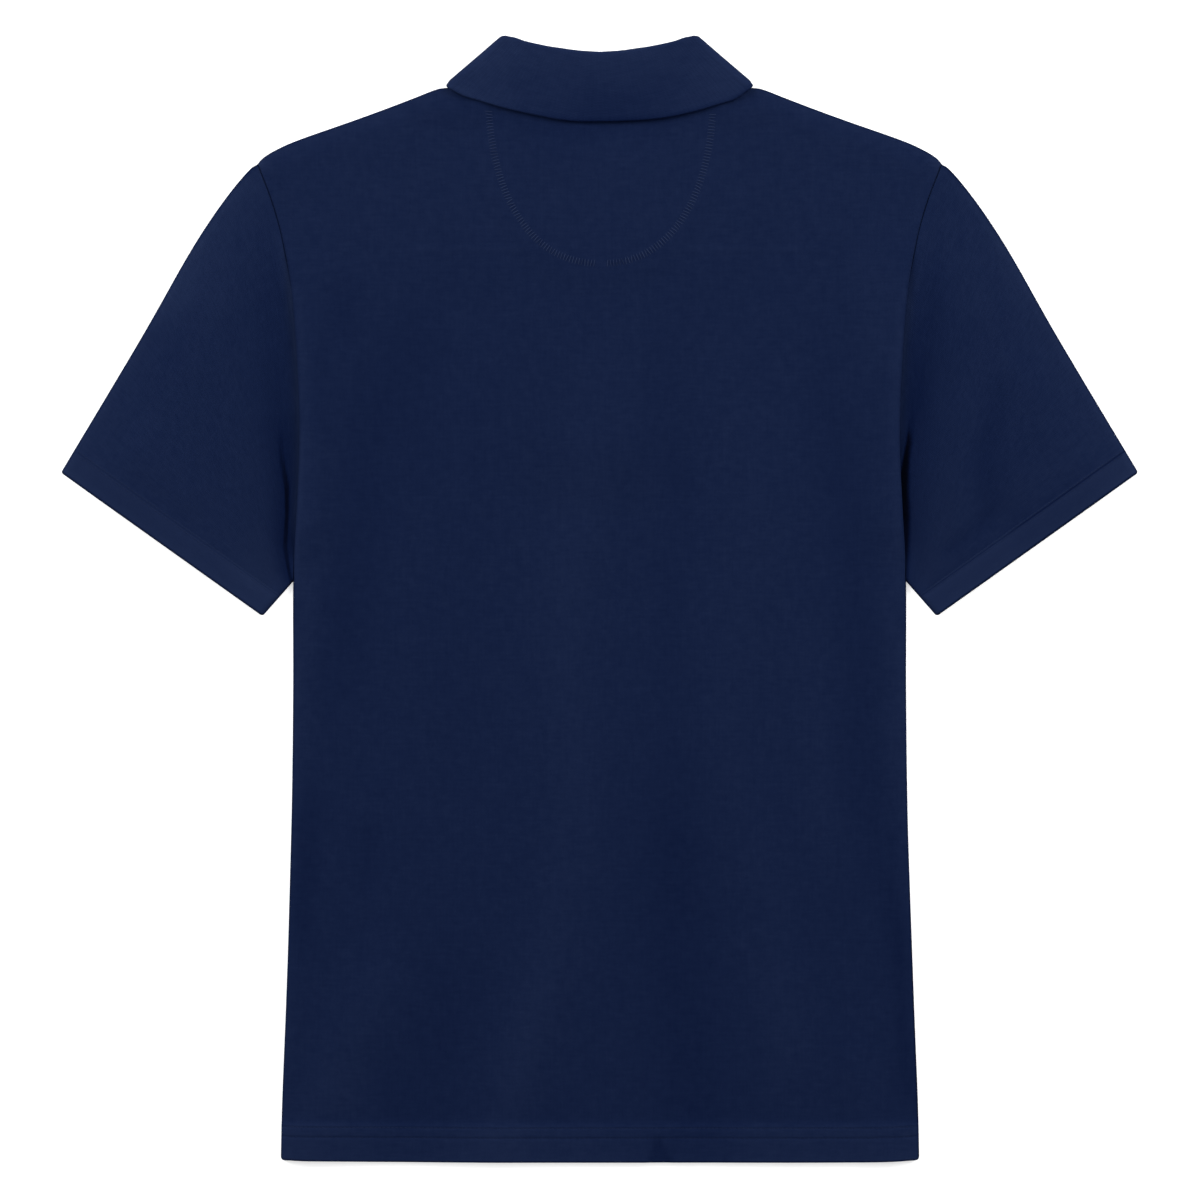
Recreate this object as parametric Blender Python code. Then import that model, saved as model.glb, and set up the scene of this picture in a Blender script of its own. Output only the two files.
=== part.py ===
"""A man's polo shirt in navy cotton knit, laid flat on its front with its back up.

Sizes are in millimetres, and the meshes are written in metres. +X is the wearer's right, +Y runs
from hem to neck and +Z is up, away from the surface that the shirt lies on. From that surface up
the layers are: buttons and front collar leaf, placket, front panel, half-moon patch, back panel,
back collar leaf. Each sewn piece is its own solid, a seam's clearance from its neighbours.
"""

import math
from collections import namedtuple

import bpy
import numpy as np

MM = 0.001

# Cloth
CLOTH = 1.2  # knit wall of body and sleeves
RIB = 1.7  # flat-knit wall of the collar
PATCH = 1.0  # knit wall of the half-moon patch
SEAM = 0.3  # clearance between sewn pieces
SEAM_SPARE = 0.1  # what a facet of a curved seam may take of it
AIR = 1.4  # looseness between front and back
HEM_TURN = 0.6  # what a turned hem adds to the wall

# Body, half of it: the other half is its mirror image
HEM_Y = -378.3
HEM_SAG = 1.4
HEM_BAND = 22.0
STEP_ROW = 2.0
SHARP_DEGREES = 50
EDGE_RUN = 14.0  # how far from its edge a panel still bends down to the seam
SHOULDER_Y = 293.5
WAIST_X = 208.0
UNDERARM_Y = 11.5
NECK_X = 84.0
NECK_Y = 350.4
BACK_NECK_DROP = 13.4
BACK_NECK_ROUND = 2.5
FRONT_NECK_DROP = 77.9
FRONT_NECK_ROUND = 2.2

Point = namedtuple("Point", "x y")
BODY_SIDE = [
    Point(215.0, HEM_Y),
    Point(214.3, -338.0),
    Point(211.6, -271.0),
    Point(209.3, -203.0),
    Point(207.3, -136.0),
    Point(206.4, -60.0),
    Point(206.4, UNDERARM_Y),
    Point(204.0, 62.0),
    Point(202.5, 105.0),
    Point(203.6, 150.0),
    Point(207.6, 205.0),
    Point(213.5, 240.0),
    Point(221.0, 267.0),
    Point(231.0, SHOULDER_Y),
]
SHOULDER = [
    Point(NECK_X, NECK_Y),
    Point(100.5, 344.2),
    Point(109.5, 343.0),
    Point(127.2, 336.8),
    Point(165.0, 323.3),
    Point(202.8, 309.8),
    Point(217.7, 303.1),
    Point(231.0, SHOULDER_Y),
]

# Rows are places on the body's side, and columns are places on its top edge
LOW_ROWS = 15
ARMHOLE_ROWS = 12
SHOULDER_COLUMNS = [100.0, 120.0, 142.0, 165.0, 188.0, 208.0, 222.0, 231.0]
BACK_COLUMNS = [0.0, 17.0, 34.0, 51.0, 68.0, NECK_X] + SHOULDER_COLUMNS
FRONT_COLUMNS = [0.0, 13.0, 28.0, 43.0, 56.0, 67.0, 76.0, 82.0, NECK_X] + SHOULDER_COLUMNS

# Sleeve, right one
SLEEVE_TOP = [
    Point(231.0, SHOULDER_Y),
    Point(235.2, 289.6),
    Point(247.4, 276.1),
    Point(262.2, 255.8),
    Point(279.1, 228.8),
    Point(309.9, 174.8),
    Point(362.4, 86.2),
]
SLEEVE_CORNER = Point(227.3, -11.4)
SLEEVE_BAND = 15.0
SLEEVE_STATIONS = 8
SLEEVE_WIDTH = 237.0  # from top fold to underarm, along the cloth
SLEEVE_EDGE = 3.4  # height of the folded edge
SLEEVE_CROWN = 2.4  # how much the middle stands above it
CROWN_RUN = 38.0
RECESS_RUN = 45.0
SLEEVE_ROLL_RUN = 22.0
TUCK = 2.2  # how far the sleeve runs under the back's armhole edge
TUCK_START = 0.22  # shares of the armhole, from shoulder to underarm
TUCK_END = 0.92
TUCK_GROWTH = 0.2
TUCK_FADE = 0.12
ARC_STEPS = 3

# Armhole edge of the back, which stands over the sleeve
LIFT = 3.6
LIFT_RUN = 24.0
LIFT_START = 0.10
LIFT_GROWTH = 0.25
LIFT_FADE = 0.14

# Collar, half of it, one flat-knit piece folded along its top
STAND_Z_BACK = 6.9
STAND_Z_FRONT = 2.9
STAND_Z_CENTRE_FRONT = 4.9
LEAF_Z_BACK = 10.2
LEAF_Z_BACK_EDGE = 9.5
LEAF_Z_FRONT = 0.86
BEND_STEPS = 4
STAND_STEPS = 3
LEAF_STEPS = 5
TURN_STEPS = 4
CENTRE_FRONT_X = 1.6
SIDE_PULL_POWER = 5
STAND_SIDE = Point(85.6, 354.8)
SIDE_OUTWARD = np.array([0.657, 0.754])
LEAF_BEND = (LEAF_Z_BACK - LEAF_Z_FRONT) / 2
FOLD_BACK = [
    Point(0.0, 367.1),
    Point(14.0, 368.1),
    Point(36.5, 371.7),
    Point(51.0, 375.8),
    Point(60.0, 378.6),
    Point(67.2, 378.4),
]
LEAF_BACK = [
    Point(0.0, 322.0),
    Point(32.0, 324.0),
    Point(62.0, 330.0),
    Point(84.0, 338.3),
    Point(103.2, 345.8),
]
FOLD_FRONT = [Point(67.2, 378.4), Point(57.0, 346.0), Point(34.0, 313.0), Point(2.0, 297.0)]
LEAF_FRONT = [Point(103.2, 345.8), Point(90.0, 310.0), Point(56.0, 240.0)]

# Half-moon patch inside the back neck
MOON_X = 78.0
MOON_TOP_Y = 345.0
MOON_DROP = 120.5
MOON_ROUND = 2.25
MOON_EDGE = 0.97
MOON_RUN = 0.2
MOON_POINTS = 15
MOON_BELOW_SEAM = 2.0
MOON_ROWS = 8  # rows and columns of the back's grid that hold it
MOON_SIDE_COLUMNS = 6

# Placket and buttons on the front
SLIT_X = 13.0
SLIT_Y = 120.0
BAND_X = 16.0
BAND_Y = 117.0
UNDER_BAND_Y = 122.0
BAND_COLUMNS = 4
BAND_ROWS = 8
BUTTON_RADIUS = 5.75
BUTTON_THICK = 2.5
BUTTON_TOP_Y = 257.0
BUTTON_PITCH = 50.0
BUTTON_COUNT = 3
BUTTON_SIDES = 16
BUTTON_DISH = 0.6
HOLE_SIDES = 6
HOLE_RADIUS = 0.75
HOLE_PLACE = 1.75
PLACKET_RISE = BUTTON_THICK + SEAM + CLOTH + SEAM
PLACKET_MARGIN = 6.0
PLACKET_RUN = 60.0
PLACKET_TOP_Y = 285.0
COLLAR_RISE = RIB + 0.4
COLLAR_REACH = 113.0
COLLAR_RUN = 45.0
COLLAR_SQUASH = 0.8
SEAM_RISE = 3.6  # the shoulder seam runs up to the middle of the collar's side fold
SEAM_RISE_AT = Point(97.0, 346.0)
SEAM_RISE_REACH = 12.0
SEAM_RISE_RUN = 45.0

# Broad soft rolls of the laid back, each along a curve of three points
ROLL_LIMIT = 3.4
ROLL_FADE = 60.0  # the rolls fade out towards the collar over this length
Roll = namedtuple("Roll", "start middle end width height")
BACK_ROLLS = [
    Roll((3, 198), (8, 94), (-33, 1), 36, 2.6),
    Roll((-33, 1), (-28, -150), (-64, -345), 30, 3.0),
    Roll((86, 146), (127, 69), (86, -61), 30, 2.8),
    Roll((86, -61), (98, -180), (124, -300), 28, 3.2),
    Roll((-136, -205), (-160, -283), (-186, -345), 22, 2.8),
    Roll((-66, 200), (-100, 60), (-112, -150), 30, 2.4),
    Roll((-188, 170), (-190, 60), (-192, -60), 16, 2.0),
    Roll((196, -20), (196, -60), (192, -120), 14, 1.8),
    Roll((160, -260), (182, -320), (196, -352), 20, 1.8),
]
RIGHT_SLEEVE_ROLLS = [
    Roll((285, 165), (278, 110), (248, 52), 15, 1.8),
    Roll((225, 238), (232, 190), (240, 140), 16, 1.0),
]
LEFT_SLEEVE_ROLLS = [
    Roll((-262, 190), (-272, 130), (-262, 70), 26, 1.2),
    Roll((-320, 120), (-296, 92), (-262, 58), 16, 1.0),
]

# Cutters run past what they cut, from below the surface to over the collar
CUTTER_MARGIN = 5.0
CUTTER_TOP = 20.0

NAVY = (0.0075, 0.0150, 0.0470, 1.0)
NAVY_RIB = (0.0085, 0.0170, 0.0520, 1.0)
BUTTON_NAVY = (0.0060, 0.0110, 0.0300, 1.0)


def clear_scene():
    for old in list(bpy.data.objects):
        bpy.data.objects.remove(old, do_unlink=True)


def material(name, colour, roughness):
    made = bpy.data.materials.new(name)
    made.use_nodes = True
    shader = made.node_tree.nodes["Principled BSDF"]
    shader.inputs["Base Color"].default_value = colour
    shader.inputs["Roughness"].default_value = roughness
    shader.inputs["Metallic"].default_value = 0.0
    return made


def ease(value):
    """0 below 0, 1 above 1 and a soft S between."""
    held = np.clip(value, 0.0, 1.0)
    return held * held * (3.0 - 2.0 * held)


def unit(vectors):
    return vectors / np.linalg.norm(vectors, axis=-1)[..., None]


def smooth_curve(points, steps=10):
    """A Catmull-Rom curve through the points, as a dense polyline."""
    given = np.array(points, float)
    ends = np.vstack([2 * given[0] - given[1], given, 2 * given[-1] - given[-2]])
    t = np.linspace(0.0, 1.0, steps, endpoint=False)[:, None]
    stretches = []
    for a, b, c, d in zip(ends, ends[1:], ends[2:], ends[3:]):
        bent = (2 * a - 5 * b + 4 * c - d) * t**2 + (3 * b - a - 3 * c + d) * t**3
        stretches.append(0.5 * (2 * b + (c - a) * t + bent))
    return np.vstack(stretches + [given[-1:]])


def along(curve, fraction):
    """Points of a polyline at the given shares of its length."""
    reach = np.concatenate([[0.0], np.cumsum(np.hypot(*np.diff(curve, axis=0).T))])
    wanted = np.asarray(fraction) * reach[-1]
    return np.stack([np.interp(wanted, reach, curve[:, axis]) for axis in (0, 1)], axis=-1)


def distance_to(curve, x, y):
    """Plan distance from each point to the nearest stretch of a polyline."""
    nearest = np.full(np.shape(x), np.inf)
    for start, end in zip(curve, curve[1:]):
        run = end - start
        share = ((x - start[0]) * run[0] + (y - start[1]) * run[1]) / max(run @ run, 1e-9)
        share = np.clip(share, 0.0, 1.0)
        gap = np.hypot(x - start[0] - share * run[0], y - start[1] - share * run[1])
        nearest = np.minimum(nearest, gap)
    return nearest


def roll_height(rolls, x, y):
    total = np.zeros(np.shape(x))
    for roll in rolls:
        path = smooth_curve([roll.start, roll.middle, roll.end], 6)
        total = total + roll.height * np.exp(-((distance_to(path, x, y) / roll.width) ** 2))
    return total


SIDE_CURVE = smooth_curve(BODY_SIDE)
SHOULDER_CURVE = smooth_curve(SHOULDER)


def side_x(y):
    return np.interp(y, SIDE_CURVE[:, 1], SIDE_CURVE[:, 0])


def back_top_y(x):
    inside = 1 - np.minimum(np.abs(x) / NECK_X, 1) ** BACK_NECK_ROUND
    neck = NECK_Y - BACK_NECK_DROP * inside
    shoulder = np.interp(np.abs(x), SHOULDER_CURVE[:, 0], SHOULDER_CURVE[:, 1])
    return np.where(np.abs(x) < NECK_X, neck, shoulder)


def front_top_y(x):
    inside = 1 - np.minimum(np.abs(x) / NECK_X, 1) ** FRONT_NECK_ROUND
    neck = NECK_Y - FRONT_NECK_DROP * inside ** (1 / FRONT_NECK_ROUND)
    shoulder = np.interp(np.abs(x), SHOULDER_CURVE[:, 0], SHOULDER_CURVE[:, 1])
    return np.where(np.abs(x) < NECK_X, neck, shoulder)


def body_rows():
    """Places on the side edge, from hem to shoulder; the armhole's are shared with the sleeve."""
    hem = [HEM_Y, HEM_Y + HEM_BAND, HEM_Y + HEM_BAND + STEP_ROW]
    low = np.linspace(hem[-1], UNDERARM_Y, LOW_ROWS + 1)[1:]
    armhole = np.linspace(UNDERARM_Y, SHOULDER_Y, ARMHOLE_ROWS + 1)[1:]
    return np.concatenate([hem, low, armhole])


def body_share(x_top):
    """The column whose top end stands at this x: -1 and 1 are the edges of the panel."""
    u = np.linspace(0.0, 1.0, 400)
    width = WAIST_X + (SHOULDER[-1].x - WAIST_X) * u**2
    return np.interp(x_top, u * width, u)


def body_plan(share, row_y, top_y):
    """Plan points of a body panel whose top edge is top_y(x)."""
    v = (row_y - HEM_Y) / (SHOULDER_Y - HEM_Y)
    x = share * (WAIST_X + (side_x(row_y) - WAIST_X) * share**2)
    x_top = share * (WAIST_X + (SHOULDER[-1].x - WAIST_X) * share**2)
    rise = v**3 * (top_y(x_top) - SHOULDER_Y)
    sag = (1 - v) ** 3 * HEM_SAG * (1 - share**2)
    return x, row_y + rise - sag


def floor_rise(x, y):
    """How far the front panel is held off the surface, by the collar leaf and the placket."""
    collar = np.hypot(x, COLLAR_SQUASH * (NECK_Y - y))
    over_collar = COLLAR_RISE * (1 - ease((collar - COLLAR_REACH) / COLLAR_RUN))
    beside = np.maximum(np.abs(x) - BAND_X, 0)
    beyond = np.maximum(BAND_Y - y, 0) + np.maximum(y - PLACKET_TOP_Y, 0)
    placket = np.hypot(beside, beyond) - PLACKET_MARGIN
    over_placket = PLACKET_RISE * (1 - ease(placket / PLACKET_RUN))
    to_side = np.hypot(np.abs(x) - SEAM_RISE_AT.x, y - SEAM_RISE_AT.y)
    at_shoulder = SEAM_RISE * (1 - ease((to_side - SEAM_RISE_REACH) / SEAM_RISE_RUN))
    return np.maximum(np.maximum(over_collar, over_placket), at_shoulder)


def moon_radius(x, y):
    """1 on the rim of the half-moon patch, less inside it."""
    across = np.abs(x) / MOON_X
    down = np.maximum(MOON_TOP_Y - y, 0) / MOON_DROP
    return (across**MOON_ROUND + down**MOON_ROUND) ** (1 / MOON_ROUND)


def armhole_lift(y):
    """How far the back's armhole edge stands up at this height of the armhole."""
    share = (SHOULDER_Y - y) / (SHOULDER_Y - UNDERARM_Y)
    return LIFT * ease((share - LIFT_START) / LIFT_GROWTH) * ease((1.0 - share) / LIFT_FADE)


def hem_turn(row_y):
    return np.where(row_y <= HEM_Y + HEM_BAND, HEM_TURN, 0.0)


def back_low(x, y, row_y):
    """Lower face of the back: it meets the front at the edges and stands off it elsewhere."""
    from_side = side_x(row_y) - np.abs(x)
    from_shoulder = np.where(np.abs(x) > NECK_X, back_top_y(x) - y, EDGE_RUN)
    edge = ease(np.minimum(from_side, from_shoulder) / EDGE_RUN)
    patch = (PATCH + SEAM) * (1 - ease((moon_radius(x, y) - 1) / MOON_RUN))
    from_collar = np.hypot(x, COLLAR_SQUASH * (NECK_Y - y)) - ROLL_FADE
    rolls = roll_height(BACK_ROLLS, x, y) * ease(from_collar / ROLL_FADE)
    lift = armhole_lift(row_y) * np.exp(-((from_side / LIFT_RUN) ** 2))
    loose = edge * (AIR + patch + np.minimum(rolls, ROLL_LIMIT)) + lift
    return floor_rise(x, y) + CLOTH + SEAM + hem_turn(row_y) + loose


def layer(x, y, z):
    return np.stack(np.broadcast_arrays(x, y, z), axis=-1)


def wall_between(name, outer, inner, finish, keep=None, wrap=False):
    """One closed solid between two grids of points. wrap joins the last column to the first."""
    rows, columns = outer.shape[:2]
    across = columns if wrap else columns - 1
    if keep is None:
        keep = np.ones((rows - 1, across), bool)

    def index(side, place):
        return side * rows * columns + place[0] * columns + place[1] % columns

    def is_cloth(row, column):
        if wrap:
            column %= across
        return 0 <= row < rows - 1 and 0 <= column < across and keep[row, column]

    faces = []
    for i, j in np.argwhere(keep):
        corners = [(i, j), (i, j + 1), (i + 1, j + 1), (i + 1, j)]
        beyond = [(i - 1, j), (i, j + 1), (i + 1, j), (i, j - 1)]
        for half in (corners[:3], [corners[2], corners[3], corners[0]]):
            faces.append([index(0, corner) for corner in half])
            faces.append([index(1, corner) for corner in reversed(half)])
        for start, end, neighbour in zip(corners, corners[1:] + corners[:1], beyond):
            if not is_cloth(*neighbour):
                rim = [index(0, end), index(0, start), index(1, start), index(1, end)]
                faces.append(rim)
    points = np.vstack([outer.reshape(-1, 3), inner.reshape(-1, 3)])
    used = sorted({corner for face in faces for corner in face})
    place = {old: new for new, old in enumerate(used)}
    mesh = bpy.data.meshes.new(name)
    solid_faces = [[place[corner] for corner in face] for face in faces]
    mesh.from_pydata((points[used] * MM).tolist(), [], solid_faces)
    return add_object(name, mesh, finish)


def add_object(name, mesh, finish):
    mesh.materials.clear()
    mesh.materials.append(finish)
    mesh.shade_smooth()
    mesh.set_sharp_from_angle(angle=math.radians(SHARP_DEGREES))
    made = bpy.data.objects.new(name, mesh)
    bpy.context.scene.collection.objects.link(made)
    return made


def prism(name, x, y, low, high):
    """An upright solid between two heights, hidden, to cut with."""
    count = len(x)
    points = np.vstack([layer(x, y, low), layer(x, y, high)])
    sides = [[i, (i + 1) % count, count + (i + 1) % count, count + i] for i in range(count)]
    faces = [list(range(count))[::-1], list(range(count, 2 * count))] + sides
    mesh = bpy.data.meshes.new(name)
    mesh.from_pydata((points * MM).tolist(), [], faces)
    made = bpy.data.objects.new(name, mesh)
    made.hide_render = True
    made.display_type = "WIRE"
    bpy.context.scene.collection.objects.link(made)
    return made


def cut(piece, cutter, operation):
    boolean = piece.modifiers.new(operation.title(), "BOOLEAN")
    boolean.operation = operation
    boolean.solver = "EXACT"
    boolean.object = cutter


def mirrored(columns):
    """Columns of the whole panel from those of its right half."""
    share = body_share(np.array(columns))
    return np.concatenate([-share[:0:-1], share])


def back_grid():
    row_y = body_rows()[:, None]
    x, y = body_plan(mirrored(BACK_COLUMNS)[None, :], row_y, back_top_y)
    return x, y, row_y


def add_back_panel(finish):
    x, y, row_y = back_grid()
    low = back_low(x, y, row_y)
    top = low + CLOTH + hem_turn(row_y)
    wall_between("back_panel", layer(x, y, top), layer(x, y, low), finish)


def add_front_panel(finish):
    row_y = body_rows()[:, None]
    x, y = body_plan(mirrored(FRONT_COLUMNS)[None, :], row_y, front_top_y)
    low = floor_rise(x, y)
    middle_x = (x[:-1, :-1] + x[1:, 1:]) / 2
    middle_y = (y[:-1, :-1] + y[1:, 1:]) / 2
    cloth = (np.abs(middle_x) > SLIT_X) | (middle_y < SLIT_Y)
    top = low + CLOTH + hem_turn(row_y)
    wall_between("front_panel", layer(x, y, top), layer(x, y, low), finish, keep=cloth)


def add_half_moon_patch(finish):
    """The back's own lower face moved in, cut to the half moon that is sewn inside the neck."""
    x, y, row_y = back_grid()
    under = back_low(x, y, row_y) - SEAM
    near = slice(-MOON_ROWS, None), slice(MOON_SIDE_COLUMNS, -MOON_SIDE_COLUMNS)
    x, y, under = x[near], y[near], under[near]
    outer, inner = layer(x, y, under), layer(x, y, under - PATCH)
    patch = wall_between("half_moon_patch", outer, inner, finish)
    angle = np.linspace(-1, 1, MOON_POINTS) * math.asin(MOON_EDGE)
    rim_x = MOON_X * np.sin(angle)
    inside = 1 - (np.abs(rim_x) / MOON_X) ** MOON_ROUND
    rim_y = MOON_TOP_Y - MOON_DROP * inside ** (1 / MOON_ROUND)
    top_x = np.linspace(rim_x[-1], rim_x[0], MOON_POINTS)
    outline_x = np.concatenate([rim_x, top_x])
    outline_y = np.concatenate([rim_y, back_top_y(top_x) - MOON_BELOW_SEAM])
    cutter = prism("half_moon_cutter", outline_x, outline_y, -CUTTER_MARGIN, CUTTER_TOP)
    cut(patch, cutter, "INTERSECT")


def sleeve_edges():
    """The four edges of the right sleeve's plan: armhole, stitch line of the hem, top and underarm."""
    armhole_y = np.linspace(SHOULDER_Y, UNDERARM_Y, ARMHOLE_ROWS + 1)
    armhole = np.stack([side_x(armhole_y) + SEAM + SEAM_SPARE, armhole_y], axis=-1)
    top = smooth_curve(SLEEVE_TOP)
    top[0] = armhole[0]
    hem = np.array([SLEEVE_TOP[-1], SLEEVE_CORNER])
    underarm = np.array([armhole[-1], SLEEVE_CORNER])
    return armhole, hem, top, underarm


def sleeve_plan(v):
    """Plan points of the right sleeve, a row for each station from armhole to hem."""
    armhole, hem, top, underarm = sleeve_edges()
    top_length = np.hypot(*np.diff(top, axis=0).T).sum()
    under_length = np.hypot(*(underarm[1] - underarm[0]))
    top_share = 1 - SLEEVE_BAND / top_length
    under_share = 1 - SLEEVE_BAND / under_length
    stations = np.linspace(0, 1, SLEEVE_STATIONS + 1)
    across = np.linspace(0, 1, ARMHOLE_ROWS + 1)
    start = np.stack([np.interp(v, across, armhole[:, axis]) for axis in (0, 1)], axis=-1)
    stitch = [along(top, top_share), along(underarm, under_share)]
    end = stitch[0] + v[:, None] * (stitch[1] - stitch[0])
    rows = []
    for u in stations:
        upper = along(top, u * top_share)
        lower = along(underarm, u * under_share)
        sides = upper + v[:, None] * (lower - upper)
        ends = start + u * (end - start)
        corners = armhole[0] + v[:, None] * (armhole[-1] - armhole[0])
        straight = corners + u * (end - corners)
        rows.append(sides + ends - straight)
    rim = hem[0] + v[:, None] * (hem[1] - hem[0])
    step = STEP_ROW / SLEEVE_BAND
    rows.append(rows[-1] + step * (rim - rows[-1]))
    rows.append(rim)
    return np.array(rows)


def sleeve_height(plan, rolls, side):
    """Height of the sleeve's upper face over the surface."""
    armhole, _, top, _ = sleeve_edges()
    x, y = plan[..., 0], plan[..., 1]
    from_top = distance_to(top, x, y)
    from_armhole = distance_to(armhole, x, y)
    crown = SLEEVE_CROWN * ease(from_top / CROWN_RUN) * ease(from_armhole / RECESS_RUN)
    inner = ease(from_top / SLEEVE_ROLL_RUN) * ease(from_armhole / SLEEVE_ROLL_RUN)
    return SLEEVE_EDGE + crown + roll_height(rolls, side * x, y) * inner


def sleeve_face(side, rolls, wall):
    """The sleeve's tube, wall inside its outer face: top fold, upper layer, underarm, lower layer."""
    radius = SLEEVE_EDGE / 2
    bend = radius - wall
    turns = np.linspace(0, math.pi, ARC_STEPS + 2)
    from_edge = (wall + bend * (1 - np.sin(turns))) / SLEEVE_WIDTH
    flat = np.linspace(0, 1, ARMHOLE_ROWS + 1)[1:-1]
    v = np.concatenate([from_edge, flat, 1 - from_edge, flat[::-1]])
    top_fold = slice(0, len(turns))
    upper = slice(top_fold.stop, top_fold.stop + len(flat))
    underarm = slice(upper.stop, upper.stop + len(turns))
    plan = sleeve_plan(v)
    z = sleeve_height(plan, rolls, side) - wall
    fold = radius - bend * np.cos(turns)
    rise = turns / math.pi
    z[:, top_fold] = fold + (z[:, top_fold][:, -1:] - fold[-1]) * rise
    z[:, underarm] = fold[::-1] + (z[:, underarm][:, :1] - fold[-1]) * rise[::-1]
    z[:, underarm.stop :] = wall
    if wall == 0:
        z[-2:, upper] += HEM_TURN
    tuck = TUCK * ease((v - TUCK_START) / TUCK_GROWTH) * ease((TUCK_END - v) / TUCK_FADE)
    plan[0, upper, 0] -= tuck[upper]
    points = layer(side * plan[..., 0], plan[..., 1], z)
    return points if side > 0 else points[:, ::-1]


def add_sleeve(name, side, rolls, finish):
    """A flattened tube, open at the armhole and at the hem."""
    outer = sleeve_face(side, rolls, 0.0)
    inner = sleeve_face(side, rolls, CLOTH)
    wall_between(name, outer, inner, finish, wrap=True)


def side_pull(count):
    """How far each column is drawn in towards the side bend: 0 at the centre, 1 at the bend."""
    return np.linspace(0, 1, count)[:, None] ** SIDE_PULL_POWER


def neck_seam(back_x, front_x):
    """The stand's lower edge, a seam's clearance inside the neck edge of back and front."""
    back = np.stack([back_x, back_top_y(back_x) + SEAM + SEAM_SPARE], axis=-1)
    front = np.stack([front_x, front_top_y(front_x)], axis=-1)
    front = front + unit(Point(0.0, NECK_Y) - front) * (SEAM + 2 * SEAM_SPARE)
    reach = LEAF_BEND * SIDE_OUTWARD
    back = back + side_pull(len(back_x)) * reach
    front = front + side_pull(len(front_x))[::-1] * reach
    back[-1] = STAND_SIDE
    front[0] = STAND_SIDE
    return back, front


def collar_row(back, front, back_z, front_z):
    """One line along the collar: centre back, a round bend at the side, centre front."""
    middle = (back_z[-1] + front_z[0]) / 2
    radius = (back_z[-1] - front_z[0]) / 2
    bend = np.linspace(0, math.pi, BEND_STEPS + 1)[1:-1]
    outward = (radius * np.sin(bend) - LEAF_BEND)[:, None] * SIDE_OUTWARD
    reach = LEAF_BEND * SIDE_OUTWARD
    back_plan = back - side_pull(len(back)) * reach
    front_plan = front - side_pull(len(front))[::-1] * reach
    plan = np.vstack([back_plan, (back[-1] + front[0]) / 2 + outward, front_plan])
    z = np.concatenate([back_z, middle + radius * np.cos(bend), front_z])
    return np.column_stack([plan, z])


def collar_half():
    """Middle surface of the right half: a row for each line along it, neck seam to free edge."""
    back_x = np.array([x for x in BACK_COLUMNS if x <= NECK_X])
    front_x = np.array([x for x in FRONT_COLUMNS[::-1] if 0 < x <= NECK_X] + [CENTRE_FRONT_X])
    back_share = back_x / NECK_X
    front_share = np.linspace(0, 1, len(front_x))
    neck_back, neck_front = neck_seam(back_x, front_x)
    fold_back = along(smooth_curve(FOLD_BACK), back_share)
    fold_front = along(smooth_curve(FOLD_FRONT), front_share)
    leaf_back = along(smooth_curve(LEAF_BACK), back_share)
    leaf_front = along(smooth_curve(LEAF_FRONT), front_share)
    stand_back_z = np.full(len(back_x), STAND_Z_BACK)
    leaf_front_z = np.full(len(front_x), LEAF_Z_FRONT)
    stand_rise = STAND_Z_CENTRE_FRONT - STAND_Z_FRONT
    stand_front_z = STAND_Z_FRONT + stand_rise * front_share**2
    rows = []
    for share in np.linspace(0, 1, STAND_STEPS + 1):
        back = neck_back + share * (fold_back - neck_back)
        front = neck_front + share * (fold_front - neck_front)
        rows.append(collar_row(back, front, stand_back_z, stand_front_z))
    up_back = unit(fold_back - neck_back)
    up_front = unit(fold_front - neck_front)
    back_radius = (LEAF_Z_BACK - STAND_Z_BACK) / 2
    front_radius = (stand_front_z - LEAF_Z_FRONT) / 2
    for angle in np.linspace(-math.pi / 2, math.pi / 2, TURN_STEPS + 1)[1:-1]:
        back = fold_back + up_back * back_radius * math.cos(angle)
        front = fold_front + up_front * (front_radius * math.cos(angle))[:, None]
        back_z = stand_back_z + back_radius * (1 + math.sin(angle))
        front_z = stand_front_z - front_radius * (1 + math.sin(angle))
        rows.append(collar_row(back, front, back_z, front_z))
    for share in np.linspace(0, 1, LEAF_STEPS + 1):
        back = fold_back + share * (leaf_back - fold_back)
        front = fold_front + share * (leaf_front - fold_front)
        back_z = LEAF_Z_BACK + (LEAF_Z_BACK_EDGE - LEAF_Z_BACK) * share
        leaf_back_z = np.full(len(back_x), back_z)
        rows.append(collar_row(back, front, leaf_back_z, leaf_front_z))
    return np.array(rows)


def surface_normals(grid):
    """Unit normals of a grid of points, from the steps to its neighbours."""
    return unit(np.cross(np.gradient(grid, axis=0), np.gradient(grid, axis=1)))


def add_collar(finish):
    right = collar_half()
    left = right[:, :0:-1] * (-1, 1, 1)
    middle = np.concatenate([left, right], axis=1)
    offset = surface_normals(middle) * RIB / 2
    wall_between("collar", middle - offset, middle + offset, finish)


def add_placket(finish):
    """Two bands in the front slit: the buttoned one inside it, the buttonholed one over it."""
    bands = (
        ("placket_over", BAND_X, BAND_Y, -SEAM - CLOTH, -SEAM),
        ("placket_under", SLIT_X - SEAM, UNDER_BAND_Y, 0.0, CLOTH),
    )
    for name, half, bottom, low, high in bands:
        x = np.linspace(-half, half, BAND_COLUMNS + 1)[None, :]
        y = bottom + (front_top_y(x) - bottom) * np.linspace(0, 1, BAND_ROWS + 1)[:, None]
        z = floor_rise(x, y)
        wall_between(name, layer(x, y, z + high), layer(x, y, z + low), finish)


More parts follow.
